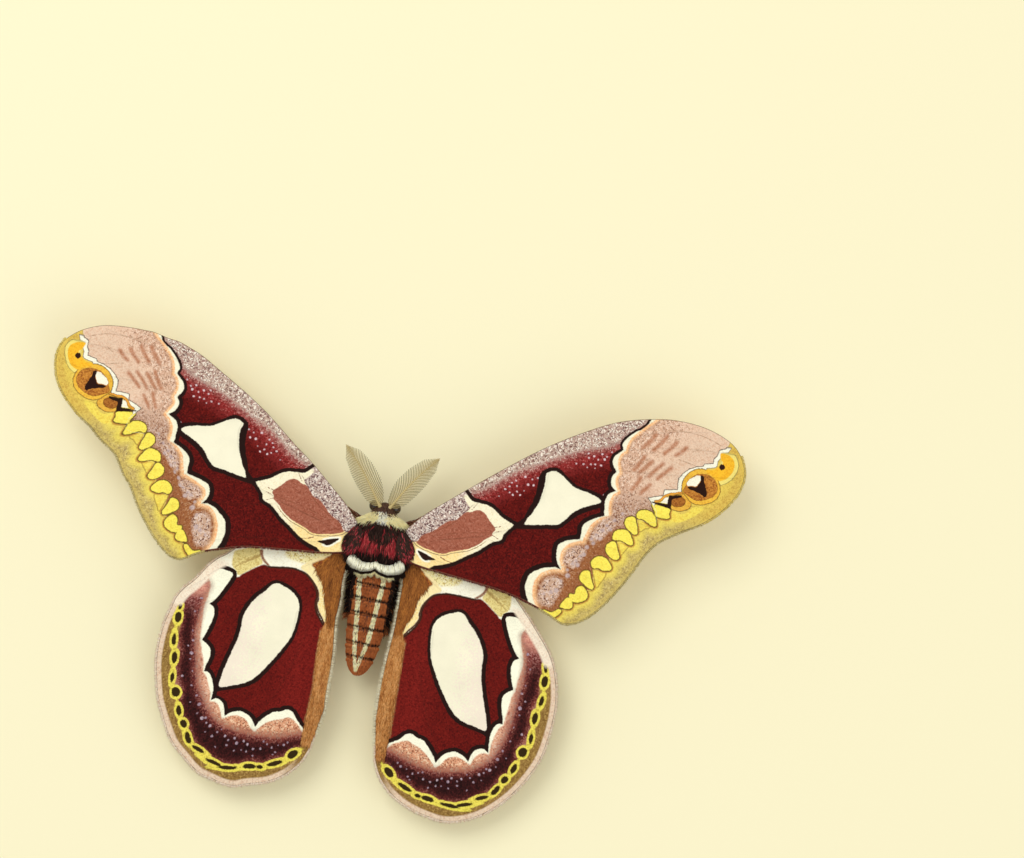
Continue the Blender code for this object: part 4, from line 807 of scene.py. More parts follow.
HIND_FRAME = (
    (15.2, -8.4), (14.0, -8.6), (12.4, -9.2), (11.2, -10.2), (10.5, -11.6), (10.4, -13.3), (10.6, -15.6),
    (11.1, -17.8), (12.0, -19.8), (13.1, -21.9), (14.3, -23.8), (15.4, -25.4), (16.8, -26.7), (18.2, -27.4),
    (20.0, -27.8), (21.6, -28.2), (22.7, -28.6), (23.0, -27.4), (22.9, -26.0), (22.3, -24.0), (21.6, -21.8),
    (21.0, -19.6), (20.7, -17.6), (20.6, -15.3), (19.8, -13.2), (18.8, -11.6), (17.4, -10.1), (16.2, -8.9),
)
# The dark band between the scallops and the chain: its soft inner edge out, then its crisp outer edge back
HIND_BAND = np.concatenate([
    spline(((26.4, -11.2), (27.2, -13.0), (27.5, -15.0), (27.6, -17.0), (27.5, -19.0), (27.2, -21.0),
            (27.0, -23.0),
            (26.8, -25.0), (26.5, -27.0), (26.0, -29.0), (25.2, -31.0), (24.2, -32.6), (22.6, -34.0),
            (20.6, -35.1), (18.0, -35.7), (15.0, -36.0), (12.0, -35.6), (9.5, -34.8), (7.6, -34.1),
            (6.2, -33.9), (5.0, -34.2))),
    spline(((5.0, -34.4), (6.3, -35.3), (7.6, -36.1), (8.6, -37.1), (9.6, -37.8), (11.2, -38.4),
            (12.2, -39.2),
            (14.2, -39.3), (16.5, -40.1), (18.0, -40.2), (20.2, -39.9), (22.2, -39.0), (23.8, -37.9),
            (25.1, -36.6), (25.9, -35.0), (27.0, -34.0), (27.5, -32.8), (28.0, -31.4), (27.9, -30.0),
            (28.4, -28.6), (29.1, -27.0), (29.2, -25.0), (29.0, -23.0), (29.5, -21.4), (29.8, -20.0),
            (29.9, -17.0), (29.7, -14.4), (29.0, -12.8), (27.9, -11.3), (26.4, -11.2))),
])
HIND_CHAIN = spline(
    ((30.2, -14.6), (30.5, -16.0), (30.7, -18.0), (30.6, -21.4), (30.1, -24.3), (29.9, -27.6),
     (28.9, -30.2), (28.0, -33.0), (26.7, -35.2), (25.5, -37.2), (23.4, -38.9), (21.6, -40.2),
     (19.4, -40.9), (17.0, -40.9), (14.7, -40.4), (12.9, -40.1), (10.4, -38.9), (8.8, -38.0), (7.4, -36.9),
     (6.2, -35.7), (5.2, -34.8)))
# Dark lenses on the chain: middle, half width, half height and lean in degrees
HIND_LENSES = (
    (30.4, -15.9, 0.28, 0.6, 15), (30.6, -18.0, 0.5, 0.9, 0), (30.6, -21.4, 0.34, 0.8, -8),
    (30.0, -24.3, 0.42, 0.9, 0), (29.9, -27.7, 0.3, 0.8, 0), (28.9, -30.2, 0.68, 0.78, -20),
    (27.9, -33.1, 0.4, 0.8, -20), (26.7, -35.2, 0.5, 0.65, -35), (25.5, -37.2, 0.38, 0.95, -35),
    (23.4, -38.8, 1.0, 0.3, 22), (20.7, -40.4, 1.3, 0.28, 16), (18.4, -40.9, 1.5, 0.28, -4),
    (14.7, -40.35, 1.0, 0.38, -10), (12.9, -40.1, 0.5, 0.28, -10), (10.5, -39.0, 1.2, 0.34, -24),
    (7.6, -37.0, 0.95, 0.55, -42),
)
# Lilac specks on the dark band, and the stippled grounds near the front edge
HIND_SPECKS = (
    (27.1, -14.0, 0.2), (27.6, -19.2, 0.15), (27.2, -20.6, 0.2), (27.3, -23.0, 0.28), (27.4, -24.2, 0.16),
    (28.3, -27.3, 0.2), (26.8, -26.3, 0.13), (25.6, -30.5, 0.18), (25.0, -32.0, 0.24), (24.0, -34.0, 0.24),
    (23.4, -33.9, 0.16), (22.4, -35.0, 0.2), (23.1, -34.6, 0.14), (21.0, -35.8, 0.14), (20.4, -35.3, 0.13),
    (19.6, -36.2, 0.17), (19.0, -36.7, 0.15), (18.0, -36.3, 0.17), (17.5, -37.0, 0.2), (16.4, -36.6, 0.14),
    (15.7, -37.0, 0.18), (14.6, -37.5, 0.16), (15.6, -38.0, 0.13), (17.7, -38.1, 0.14), (13.4, -37.2, 0.15),
    (13.1, -36.1, 0.14), (12.4, -36.3, 0.16), (11.5, -36.6, 0.14), (10.8, -37.2, 0.15), (10.4, -36.0, 0.14),
    (9.4, -35.7, 0.2), (8.8, -35.2, 0.12), (7.9, -36.0, 0.12), (19.1, -37.4, 0.15), (20.8, -37.9, 0.13),
    (21.7, -36.4, 0.16), (11.2, -37.7, 0.13), (14.4, -38.5, 0.12), (26.6, -28.7, 0.13), (27.9, -16.4, 0.14),
    (28.0, -21.8, 0.13), (22.9, -35.9, 0.12), (24.9, -33.3, 0.13), (26.4, -31.6, 0.12), (16.5, -37.9, 0.12),
)
HIND_OCHRE = (
    (19.0, -3.7), (20.3, -3.8), (21.8, -4.3), (22.8, -4.9), (23.0, -6.2), (22.8, -7.5), (22.1, -8.1),
    (21.7, -8.7), (20.6, -8.0), (19.4, -7.0), (18.2, -6.1), (18.6, -5.2),
)
HIND_SPECKLED = (
    (6.3, -2.2), (9.0, -2.4), (12.0, -2.8), (14.2, -3.4), (14.4, -4.0), (13.6, -4.7), (11.6, -5.1),
    (10.0, -4.9), (8.8, -4.0), (7.4, -3.0),
)
HIND_WEDGE = ((18.5, -3.8), (19.0, -4.0), (18.7, -5.0), (18.1, -5.8), (17.2, -6.4), (17.0, -6.1),
              (17.8, -5.5), (18.3, -4.8))
HIND_HATCH = tuple(((18.4 + 0.42 * k, -4.3 - 0.24 * k),
                    (20.6 + 0.36 * k, -6.2 - 0.24 * k)) for k in range(-3, 6))

outline = spline(HIND_OUTLINE, step=0.1, closed=True)
_, bend, foot, heel = between(outline, [HIND_OUTLINE[i] for i in (0, 9, 17, 28)])
hind_plan = sheet_grid(
    even(outline[: bend + 1], count=270),
    even(outline[foot : heel + 1][::-1], count=270),
    even(outline[heel:][::-1], count=240),
    even(outline[bend : foot + 1], count=240),
)
x, y = hind_plan[..., 0], hind_plan[..., 1]


def lens(plan, x, y, a, b, lean):
    """How deep each plan point lies inside a leaning ellipse."""
    turn = math.radians(lean)
    dx, dy = plan[..., 0] - x, plan[..., 1] - y
    ahead, aside = dx * math.cos(turn) + dy * math.sin(turn), dy * math.cos(turn) - dx * math.sin(turn)
    return (1 - np.hypot(ahead / a, aside / b)) * min(a, b)


low_side = ((60, -7), (60, -60), (-20, -60))
hind_facts = {
    "rim": off(hind_plan, outline),
    "vein": nearest(hind_plan, HIND_VEINS),
    "hair": deepest(hind_plan, [HIND_HAIR]),
    "buff": deepest(hind_plan, [HIND_BUFF]),
    "field": beyond(hind_plan, HIND_FIELD, *low_side, (-20, -16)),
    "outer": beyond(hind_plan, HIND_OUTER, *low_side[::-1]),
    "scallop": beyond(hind_plan, HIND_SCALLOP, *low_side[::-1]),
    "window": deepest(hind_plan, [HIND_WINDOW]),
    "frame": deepest(hind_plan, [HIND_FRAME]),
    "band": depth(hind_plan, HIND_BAND),
    "chain": off(hind_plan, HIND_CHAIN),
    "lenses": np.max([lens(hind_plan, *each) for each in HIND_LENSES], axis=0),
    "specks": round_spots(hind_plan, HIND_SPECKS),
    "ochre": deepest(hind_plan, [HIND_OCHRE]),
    "speckled": deepest(hind_plan, [HIND_SPECKLED]),
    "wedge": deepest(hind_plan, [HIND_WEDGE]),
    "hatch": nearest(hind_plan, HIND_HATCH),
    "east": x,
    "north": y,
}
# How far inside the band's crisp outer edge, which parts the band from the chain
hind_facts["past"] = beyond(hind_plan, HIND_BAND[np.argmin(np.abs(HIND_BAND - (5.0, -34.4)).sum(axis=1)) :],
                            (60, -5), (60, -60), (-20, -60))

hind_skin = wing_skin("moth wing scales hind", (
    ((), "#FFFCE4", ("#F4EED0", 0.1)),
    ((("speckled", 0.0, ALL, 0.5),), "#F4E8A8", ("#C9AE66", 0.3), ("#FBF4D0", 0.2)),
    ((("ochre", 0.0, ALL, 0.25),), "#E8D78E", ("#D2BA70", 0.3)),
    ((("hatch", -1, 0.05, 0.1), ("ochre", 0.0, ALL, 0.2)), "#B89C5C"),
    ((("wedge", 0.0, ALL, 0.2),), "#8C6048", ("#A67C60", 0.3)),
    ((("buff", 0.0, ALL, 0.15),), "#FBE9AE", ("#F4D88C", ("north", -14.0, 0.6, -6.0, 0.0))),
    ((("field", 0.0, ALL, 0.2),), "#64140F", ("#721A13", 0.32), ("#500E0C", 0.22)),
    ((("field", 0.0, ALL, 0.2), ("north", -34.0, -12.0, 6.0), ("east", 6.5, 12.0, 4.0)), "#721914",
     ("#801F18", 0.3),
     ("#5E110E", 0.22)),
    ((("field", -0.1, 0.25, 0.15), ("east", 4.0, 17.5, 1.0)), "#3A2016"),
    ((("buff", -0.3, 0.02, 0.15), ("north", -ALL, -6.6, 1.0), ("east", 5.0, ALL, 0.5)), "#4A2A1C"),
    ((("east", -ALL, 6.8, 0.6), ("north", -33.6, -15.0, 0.6)), "#D0985A", ("#B0743C", 0.35),
     ("#E0B478", 0.25)),
    ((("hair", 0.0, ALL, 0.3),), "#8E4E28", ("#6E381C", 0.3), ("#B8742F", ("north", -7.0, 0.0, -3.0, 0.5))),
    ((("frame", 0.0, ALL, 0.12),), "#24130F"),
    ((("window", 0.0, ALL, 0.12),), "#FFFADC", ("#FFF2DC", ("east", 15.0, 0.0, 21.0, 1.0))),
    ((("outer", -0.72, ALL, 0.12),), "#24130F"),
    ((("outer", 0.0, ALL, 0.12),), "#FBF9DE"),
    ((("scallop", 0.0, ALL, 0.25),), "#E0A888", ("#AA6650", ("scallop", 0.0, 0.12, 1.6, 0.35)),
     ("#F0CAAE", 0.25)),
    ((("scallop", 0.0, ALL, 0.25), ("north", -ALL, -29.0, 6.0), ("east", -ALL, 22.0, 4.0)), "#DA9C78",
     ("#9C6044", 0.3), ("#EEC8A4", 0.22)),
    ((("band", -0.9, ALL, 1.6),), "#8A443A", ("#B07A6A", 0.3), ("#66292A", 0.3)),
    ((("band", 0.1, ALL, 1.1),), "#4C1D1B", ("#602624", 0.3), ("#341311", 0.3)),
    ((("band", 0.8, ALL, 1.0),), "#321312", ("#451A19", 0.25), ("#230D0C", 0.3)),
    ((("band", -0.3, ALL, 0.8), ("north", -15.4, ALL, 4.0)), "#8E4A44", ("#B27A70", 0.32), ("#6A2E2C", 0.3)),
    ((("band", -0.5, ALL, 0.7), ("north", -12.9, ALL, 2.0)), "#DE9F88", ("#C47E6E", 0.35)),
    ((("specks", -0.02, ALL, 0.12),), "#9C8490", ("#B8A6AE", 0.3)),
    ((("past", 0.0, ALL, 0.15), ("rim", -1, 2.8, 0.3), ("north", -ALL, -15.2, 1.0)), "#94733C",
     ("#7C5C2E", 0.3),
     ("#B29050", 0.2)),
    ((("chain", -1, 0.2, 0.1), ("past", -0.3, ALL, 0.2)), "#E8D858", ("#CDB846", 0.25)),
    ((("lenses", -0.4, ALL, 0.1), ("north", -ALL, -14.8, 0.3)), "#EBDC5A", ("#D2BE4A", 0.25)),
    ((("lenses", -0.04, ALL, 0.1),), "#34260F"),
    ((("rim", -1, 0.85, 0.25), ("north", -ALL, -12.5, 2.5), ("east", 8.0, ALL, 3.0)), "#E6CEB2",
     ("#D8B698", 0.25)),
    ((("rim", -1, 1.5, 0.4), ("north", -15.5, -7.0, 1.0), ("east", 20.0, ALL, 1.0)), "#F8E9D0",
     ("#EED8BE", 0.25)),
    ((("rim", -1, 0.09, 0.08),), "#7E6C54"),
), "window")

hind_relief = 0.08 * np.exp(-np.square(hind_facts["vein"] / 0.28))
HIND_STAND = (-0.8, (5.5, -2.5), HIND_SWAY, 1.009)
for word, side in SIDES:
    wing = wing_solid(f"hindwing_{word}_skin", hind_plan, settle(hind_plan, side, *HIND_STAND),
                      wing_height(hind_plan, False), hind_relief, hind_facts, hind_skin, side)
    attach(wing, "root")
    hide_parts(f"hindwing_{word}")

# Body: head, collar, thorax and abdomen in one skin, soft chitin under dense hair. The skin is seen only
# between the tufts, and takes a dark brown, painted shade like that at the roots of the hair. Each station
# of the skin: place along the body, half width, top and bottom, in millimetres
BODY = (
    (7.1, 0.0, 5.8, 5.8), (6.9, 0.8, 6.4, 5.1), (6.4, 1.45, 7.0, 4.4), (5.8, 1.85, 7.3, 4.2),
    (5.1, 2.2, 7.8, 4.2), (4.5, 2.9, 8.6, 4.2), (3.8, 3.8, 9.3, 3.9), (2.7, 4.6, 9.7, 3.7),
    (1.4, 5.0, 9.95, 3.5), (-0.4, 5.25, 10.05, 3.3), (-2.2, 4.9, 9.8, 3.5), (-3.6, 3.9, 9.1, 3.7),
    (-4.8, 3.3, 8.6, 3.4), (-7.0, 3.6, 9.0, 3.1), (-11.0, 3.3, 8.75, 2.9), (-15.0, 2.95, 7.95, 2.85),
    (-18.5, 2.45, 7.05, 3.05), (-20.8, 1.7, 6.35, 3.55), (-21.9, 0.8, 5.6, 4.2), (-22.1, 0.0, 5.0, 5.0),
)
RINGS = (-6.9, -9.3, -11.8, -14.2, -16.8, -19.2)
body_rows = spline(BODY, step=0.05)
body_share = np.linspace(0, 1, len(body_rows))


def drift(y):
    """The abdomen leans to the moth's left towards its tip: 0.6 mm times the share of its length to the
    power 1.5."""
    return -0.6 * np.clip((-3.5 - y) / 18.8, 0, 1) ** 1.5


def body_at(along, turn):
    """A place on the skin: a full oval at each station, turned from the top towards the moth's right."""
    y, half, top, low = (np.interp(along, body_share, body_rows[:, k]) for k in range(4))
    waist = 1 - 0.06 * np.exp(-np.square((y[..., None] - np.array(RINGS)) / 0.22)).sum(axis=-1)
    swell = [np.sign(v) * np.abs(v) ** 0.9 * waist for v in (np.sin(turn), np.cos(turn))]
    return np.stack([half * swell[0] + drift(y), y, (top + low) / 2 + (top - low) / 2 * swell[1]], axis=-1)


def unit(ways):
    """The same ways, each of length 1."""
    return ways / np.maximum(np.linalg.norm(ways, axis=-1, keepdims=True), 1e-9)


def body_frame(along, turn):
    """A place on the skin, the way out of it and the way back along it, from small steps either side."""
    here, step = body_at(along, turn), 0.004
    back = body_at(np.minimum(along + step, 1), turn) - body_at(np.maximum(along - step, 0), turn)
    round_way = body_at(along, turn + 0.02) - body_at(along, turn - 0.02)
    return here, unit(np.cross(back, round_way)), unit(back)


def tube(grid):
    """Points and faces of a tube from a grid of rings, with a fan to a pole, added last, at either end."""
    rings, around = grid.shape[:2]
    at = np.arange(rings * around).reshape(rings, around)
    nxt = np.roll(at, -1, axis=1)
    quads = np.stack([at[:-1], nxt[:-1], nxt[1:], at[1:]], axis=-1).reshape(-1, 4)
    pole = rings * around
    fans = [np.stack([nxt[0], at[0], np.full(around, pole)], axis=-1),
            np.stack([at[-1], nxt[-1], np.full(around, pole + 1)], axis=-1)]
    points = np.concatenate([grid.reshape(-1, 3), [grid[0].mean(axis=0), grid[-1].mean(axis=0)]])
    return points, [quads, np.concatenate(fans)]


def mottled(tree, scale, detail, dark, light):
    """Two colours mixed by noise of that scale to the metre: the place, the noise and the mixed colour."""
    spot = add(tree, "TexCoord", {}).outputs["Object"]
    patch = add(tree, "TexNoise", {"Vector": spot, "Scale": scale, "Detail": detail}).outputs[0]
    return spot, patch, blend(tree, patch, linear(dark), linear(light))


# Soft chitin, matt and uneven, its dark brown a painted shade so that gaps in the coat read as deep hair
hide, tree = matter("moth skin in painted coat shade")
spot, patch, tone = mottled(tree, 900.0, 3.0, "#2A140E", "#5A3420")
bump = add(tree, "Bump", {"Height": patch, "Strength": 0.5, "Distance": 0.0001}).outputs[0]
finish_matter(tree, {"Base Color": tone, "Roughness": 0.7, "Normal": bump})
along, turn = np.meshgrid(np.linspace(0.003, 0.997, 180), np.linspace(0, 2 * math.pi, 96, endpoint=False),
                          indexing="ij")
points, faces = tube(body_at(along, -turn))
skin = solid("body_skin", points + MOTH_AT, faces, hide)
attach(skin, "root")
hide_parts("head", "collar", "thorax", "abdomen")

# Hair: fine flattened hair-scales in tufts, rooted in the skin and lying back along the body. It is long
# and shaggy on the thorax, combed flat on the abdomen, and stands out along the sides in a black fringe.
PIECE = 19000
OFF_FLOOR = 0.004


def tufts(name, root, lie, up, size, tint, place, surface):
    """Closed tapering tufts of three sides, each a root triangle, a triangle half way along and a tip.

    The tuft leaves its root at the rise between its lie and the way up, and bends back down by its droop,
    but never into the floor. Size holds length, width, rise and droop. Each is a patch 0.003 across at its
    place on the bake's map."""
    length, width, rise, droop = (size[:, k, None] for k in range(4))
    lie = unit(lie - up * (lie * up).sum(axis=1, keepdims=True))
    across = np.cross(up, lie)
    middle = root + length * 0.5 * (np.cos(rise) * lie + np.sin(rise) * up)
    tip = middle + length * 0.5 * (np.cos(rise - droop) * lie + np.sin(rise - droop) * up)
    angle = np.arange(3) * 2 * math.pi / 3 + math.pi / 2
    ring = across[:, None] * np.cos(angle)[:, None] + up[:, None] * np.sin(angle)[:, None] * 0.5
    ring = ring * width[:, None] * 0.5
    points = np.concatenate([root[:, None] + ring, middle[:, None] + ring * 0.8, tip[:, None]], axis=1)
    points[..., 2] = np.maximum(points[..., 2], OFF_FLOOR)
    quads = np.array([(k, (k + 1) % 3, (k + 1) % 3 + 3, k + 3) for k in range(3)])
    trios = np.array([(2, 1, 0)] + [(k + 3, (k + 1) % 3 + 3, 6) for k in range(3)])
    patch = np.stack([np.cos(angle), np.sin(angle)], axis=-1) * 0.0015
    patch = np.concatenate([patch, patch * 0.6, [(0, 0)]])
    # Painted shade darkens each tuft towards its root, and painted light brightens its tip
    painted_root_shade_tip_light = np.array([0.8] * 3 + [1.0] * 3 + [1.08])
    for first in range(0, len(root), PIECE):
        part = slice(first, first + PIECE)
        base = np.arange(len(root[part]))[:, None, None] * 7
        label = f"{name}_{first // PIECE + 1}" if len(root) > PIECE else name
        made = solid(label, points[part].reshape(-1, 3) + MOTH_AT,
                     [(quads + base).reshape(-1, 4), (trios + base).reshape(-1, 3)], surface)
        colours = np.ones((len(root[part]), 7, 4))
        colours[..., :3] = np.clip(tint[part][:, None] * painted_root_shade_tip_light[:, None], 0, 1)
        layer = made.data.attributes.new("tint", "FLOAT_COLOR", "POINT")
        layer.data.foreach_set("color", colours.astype(np.float32).ravel())
        at = np.zeros(len(made.data.loops), dtype=np.int32)
        made.data.loops.foreach_get("vertex_index", at)
        spread = (place[part][:, None] + patch).reshape(-1, 2)
        made.data.uv_layers.new(name="OFBake").data.foreach_set("uv", spread[at].astype(np.float32).ravel())
        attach(made, "root")
        yield made


def pick(chance, one, other, draw):
    """Tuft by tuft, the one colour where its random draw is below the chance, or else the other."""
    return np.where((draw < chance)[:, None], one, other)


def dye(sheets, draw):
    """A colour for each tuft, somewhere along the run of hex colours."""
    run = np.array([linear(sheet)[:3] for sheet in sheets])
    return part_way(draw, np.linspace(0, 1, len(run)), run)


def ripple(p, size, seed):
    """Smooth noise from -1 to 1: the mean of eight sine waves of about that length in random directions."""
    ways = np.random.default_rng(seed).normal(size=(8, 4))
    waves = np.sin(p @ ways[:, :3].T * (4.0 / size) + ways[:, 3] * 7)
    return waves.mean(axis=-1) * 2


def thorax_tint(p, out, rng):
    """Black-brown with crimson streaks and a crimson back, a pale yellow collar with a white middle, a
    brown head."""
    x, y = p[:, 0], p[:, 1]
    draw, side = rng.random((3, len(p))), np.abs(x)
    shaken = y + 0.14 * ripple(p, 1.6, 3) + 0.1 * (draw[2] - 0.5)
    tint = dye(("#241713", "#382620", "#503A30"), draw[0])
    front = 0.3 - 0.5 * np.exp(-np.square((x - 0.6) / 0.9)) + 1.4 * np.exp(-np.square((side - 2.3) / 0.28))
    red = (shaken < front) & (side < np.interp(y, (-3, 0, 2), (4.1, 3.2, 2.8)))
    streaks = 0.78 + 0.5 * ripple(p * (1, 0.25, 0), 1.2, 5)
    tint = pick(np.where(red, streaks, 0.04), dye(("#8A2228", "#C43A42", "#E0625F"), draw[1]), tint, draw[0])
    hem = 0.35 * np.exp(-np.square(x / 0.5)) - 3.35 + 1.4 * np.clip((side - 2.2) / 1.8, 0, 1) ** 1.4
    tint = pick(np.where((shaken < hem + 1.45) & (side < 4.4), 0.92, 0.0),
                dye(("#170D0A", "#2E1C16"), draw[1]), tint, draw[0])
    collar = (shaken > 3.35 - 0.03 * x**2)
    tint = pick(np.where(collar, 1.0, 0.0), dye(("#FFEAA0", "#FFF4BC", "#FFFAD2"), draw[1]), tint, draw[0])
    tint = pick(np.where(collar & (side < 0.85), 0.95, 0.0), dye(("#FFFBE2", "#FFFFF0"), draw[1]), tint,
                draw[0])
    tint = pick(np.where(shaken > 5.35 - 0.05 * x**2, 1.0, 0.0),
                dye(("#2E1E16", "#5A4030", "#7E6048"), draw[1]), tint, draw[0])
    below = dye(("#3A1A14", "#6A3A2A", "#8A5A44"), draw[1])
    return pick(np.clip(-out[:, 2] * 2.2 - 0.4, 0, 1), below, tint, draw[2])


def abdomen_tint(p, out, rng):
    """Chestnut brown with two cream stripes that meet near the tip, thin black rings and black sides."""
    y, middle = p[:, 1], p[:, 0]
    draw, side = rng.random((3, len(p))), np.degrees(np.arctan2(np.abs(out[:, 0]), out[:, 2]))
    shaken = y + 0.03 * ripple(p, 1.2, 7) + 0.06 * middle
    tint = dye(("#8E4A24", "#BC6A3A", "#D08048"),
               np.clip(draw[0] * 0.6 + 0.2 + 0.2 * ripple(p, 2.5, 8), 0, 1))
    for keys, line in (((-21.4, -17.0, -6.0), (-0.95, -1.6, -2.25)),
                       ((-21.4, -16.0, -6.0), (-0.85, 0.55, 1.65))):
        away = np.abs(middle - np.interp(y, keys, line)) + 0.04 * ripple(p, 0.9, 9)
        stripe = (away < np.interp(y, (-21.4, -17, -6), (0.26, 0.38, 0.42))) & (y > -21.5) & (out[:, 2] > 0)
        tint = pick(np.where(stripe, 0.97, 0.0), dye(("#FFF0AC", "#FFF8C8", "#FFFCDC"), draw[1]), tint,
                    draw[0])
    near = np.abs(shaken[:, None] - 0.25 - np.array(RINGS)).min(axis=1)
    tint = pick(np.where((near < 0.15) & (out[:, 2] > 0.1), 0.96, 0.0),
                dye(("#1A0F0A", "#301C12"), draw[1]), tint, draw[2])
    low = np.where(middle < 0, -13.0, -15.0)
    dark = (side > np.interp(y, (-14, -9), (68, 48))) & (side < 128) & (y > low + 1.5 * draw[2])
    tint = pick(np.where(dark, 0.97, 0.0), dye(("#1A110D", "#30201A"), draw[1]), tint, draw[0])
    below = dye(("#6A4426", "#9A7650", "#D8C6A4"), draw[1])
    return pick(np.clip(-out[:, 2] * 2.5 - 1.0, 0, 0.95), below, tint, draw[2])


def comb(count, first, last, seed):
    """Roots spread evenly over the skin between two places along it, weighted by the girth at each."""
    rng = np.random.default_rng(seed)
    inside = (body_rows[:, 0] < first) & (body_rows[:, 0] > last)
    girth = np.hypot(body_rows[:, 1], (body_rows[:, 2] - body_rows[:, 3]) / 2) * inside
    along = np.interp(rng.random(count) * girth.sum(), np.cumsum(girth), body_share)
    turn = rng.random(count) * 2 * math.pi
    return rng, along, turn, *body_frame(along, turn)


# Dry hair-scales, nearly matt: each tuft has its own dyed colour, with painted shade at the root and painted
# light at the tip
fur, tree = matter("moth hair")
dyed = add(tree, "Attribute", {}, attribute_name="tint").outputs["Color"]
finish_matter(tree, {"Base Color": dyed, "Roughness": 0.8, "Specular IOR Level": 0.12})

# Thorax, collar and head: long shaggy hair, shorter on the head, that flares out over the wings' roots
THORAX_TUFTS = 24000
rng, along, turn, root, out, back = comb(THORAX_TUFTS, 7.0, -3.9, 11)
y, side = root[:, 1], np.abs(root[:, 0])
flare = (np.interp(side, (2.0, 4.4), (0, 1)) * np.interp(y, (-3.9, -3, 0.5, 3), (0.5, 1, 0.7, 0))
         * (out[:, 2] > -0.1))
length = (np.interp(y, (-3.9, -2.5, 2.5, 4.5, 5.4, 7.0), (1.2, 1.7, 1.8, 1.4, 0.8, 0.5))
          * (0.7 + 0.6 * rng.random(len(y))))
lie = back + 0.2 * rng.normal(size=back.shape) + 0.22 * np.stack(
    [ripple(root, 1.4, 21), ripple(root, 1.4, 22), ripple(root, 1.4, 23)], axis=-1)
lie[:, 0] += 0.9 * flare * np.sign(root[:, 0])
size = np.stack([length * (1 + 0.25 * flare), np.interp(y, (4.5, 6.5), (0.15, 0.1)),
                 0.3 + 0.12 * rng.normal(size=len(y)) + 0.45 * flare * (1 - np.abs(out[:, 2])),
                 np.full(len(y), 0.45)], axis=-1)
tint = thorax_tint(root + back * length[:, None] * 0.6, out, rng)
place = np.stack([turn / (2 * math.pi), along], axis=-1)
for piece in tufts("thorax_coat", root - out * 0.1, lie, out, size, tint, place, fur):
    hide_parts("thorax", "collar", "head")

# Abdomen: short hair combed flat, so that its rings and stripes stay crisp, and a black fringe at the sides
ABDOMEN_TUFTS = 26000
rng, along, turn, root, out, back = comb(ABDOMEN_TUFTS, -3.7, -22.0, 12)
y = root[:, 1]
fringe = np.abs(np.degrees(np.arctan2(np.abs(out[:, 0]), out[:, 2])) - 102) < 18
fringe = fringe & (y > np.where(out[:, 0] < 0, -12.4, -14.4))
length = (np.where(fringe, 1.5, np.interp(y, (-22, -19, -5), (0.5, 0.62, 0.66)))
          * (0.8 + 0.4 * rng.random(len(y))))
lie = back + 0.07 * rng.normal(size=back.shape)
size = np.stack([length, np.full(len(y), 0.13), np.where(fringe, 0.95, 0.32) + 0.06 * rng.normal(size=len(y)),
                 np.where(fringe, 0.35, 0.3)], axis=-1)
tint = abdomen_tint(root + back * np.minimum(length, 0.7)[:, None] * 0.5, out, rng)
place = np.stack([turn / (2 * math.pi), along], axis=-1)
for piece in tufts("abdomen_coat", root - out * 0.02, lie, out, size, tint, place, fur):
    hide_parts("abdomen")

# Shoulder pads: a pad of dark hair over each forewing's root, that fans out and back over the wing's
# base. The roots fill an ellipse, and the pad falls away to the side.
SHOULDER_TUFTS = 3400
for word, side in SIDES:
    rng = np.random.default_rng(15 + side)
    turn, far = rng.random(SHOULDER_TUFTS) * 2 * math.pi, np.sqrt(rng.random(SHOULDER_TUFTS))
    x, y = 4.1 + 1.25 * far * np.cos(turn), 0.75 + 1.9 * far * np.sin(turn)
    y = y - 0.35 * (x - 4.1)
    root = np.stack([side * x, y, 10.0 - 0.12 * (x - 3) - 0.13 * (x - 3) ** 2 + 0.1 * rng.random(len(x))],
                    axis=-1)
    lie = np.stack([side * (0.42 + 0.2 * (x - 4.1)), np.full(len(x), -1.0), np.full(len(x), -0.12)], axis=-1)
    lie = lie + 0.1 * rng.normal(size=lie.shape)
    up = unit(np.tile([side * 0.25, 0.0, 1.0], (len(x), 1)))
    size = np.stack([1.5 * (0.75 + 0.4 * rng.random(len(x))), np.full(len(x), 0.15),
                     0.12 + 0.08 * rng.random(len(x)), np.full(len(x), 0.35)], axis=-1)
    draw = rng.random((2, len(x)))
    red = np.clip(0.3 * ripple(root * (1, 0.4, 0), 1.0, 16 + side) + np.interp(y, (-1.2, 0.6), (0.45, 0.0)),
                  0, 0.8)
    tint = pick(red, dye(("#7E1A22", "#B8323C", "#D8585E"), draw[1]),
                dye(("#1E1410", "#382620", "#503A30"), draw[1]), draw[0])
    place = np.stack([0.5 + root[:, 0] / 40, 0.1 + (root[:, 1] + 3) / 40], axis=-1)
    for piece in tufts(f"shoulder_{word}", root, lie, up, size, tint, place, fur):
        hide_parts("thorax")

# Rear lobes: two white scallops of hair at the back of the thorax, over a black scalloped edge and a row of
# cream teeth, each layer of hair a little longer and lower than the one above. Each tuft runs from the hem
# of the crimson back to its own layer's edge, which is two arcs that meet in the middle.
UP = [0.0, 0.0, 1.0]
rng = np.random.default_rng(13)
count = 7600
layer = rng.integers(0, 3, count)
across = (rng.random(count) * 2 - 1) * 4.35
side = np.abs(across)
hem = 0.35 * np.exp(-np.square(across / 0.5)) - 3.2 + 1.3 * np.clip((side - 2.2) / 1.8, 0, 1) ** 1.4
edge = np.interp(side, (0, 0.6, 2.0, 3.5, 4.2, 4.6), (-3.9, -4.4, -4.8, -4.5, -3.9, -3.2))
edge = edge - np.choose(layer, (0.0, 0.5, 0.8 + 0.45 * np.sin(side * 3.4) ** 2))
top = hem + 0.15 - 0.5 * rng.random(count) * (layer == 0)
across = across + 0.05 * rng.normal(size=count)
root = np.stack([across, top, 9.95 - 0.05 * across**2 - 0.22 * layer + 0.12 * rng.random(count)], axis=-1)
root[layer > 0] -= (0, 0.7, 0)
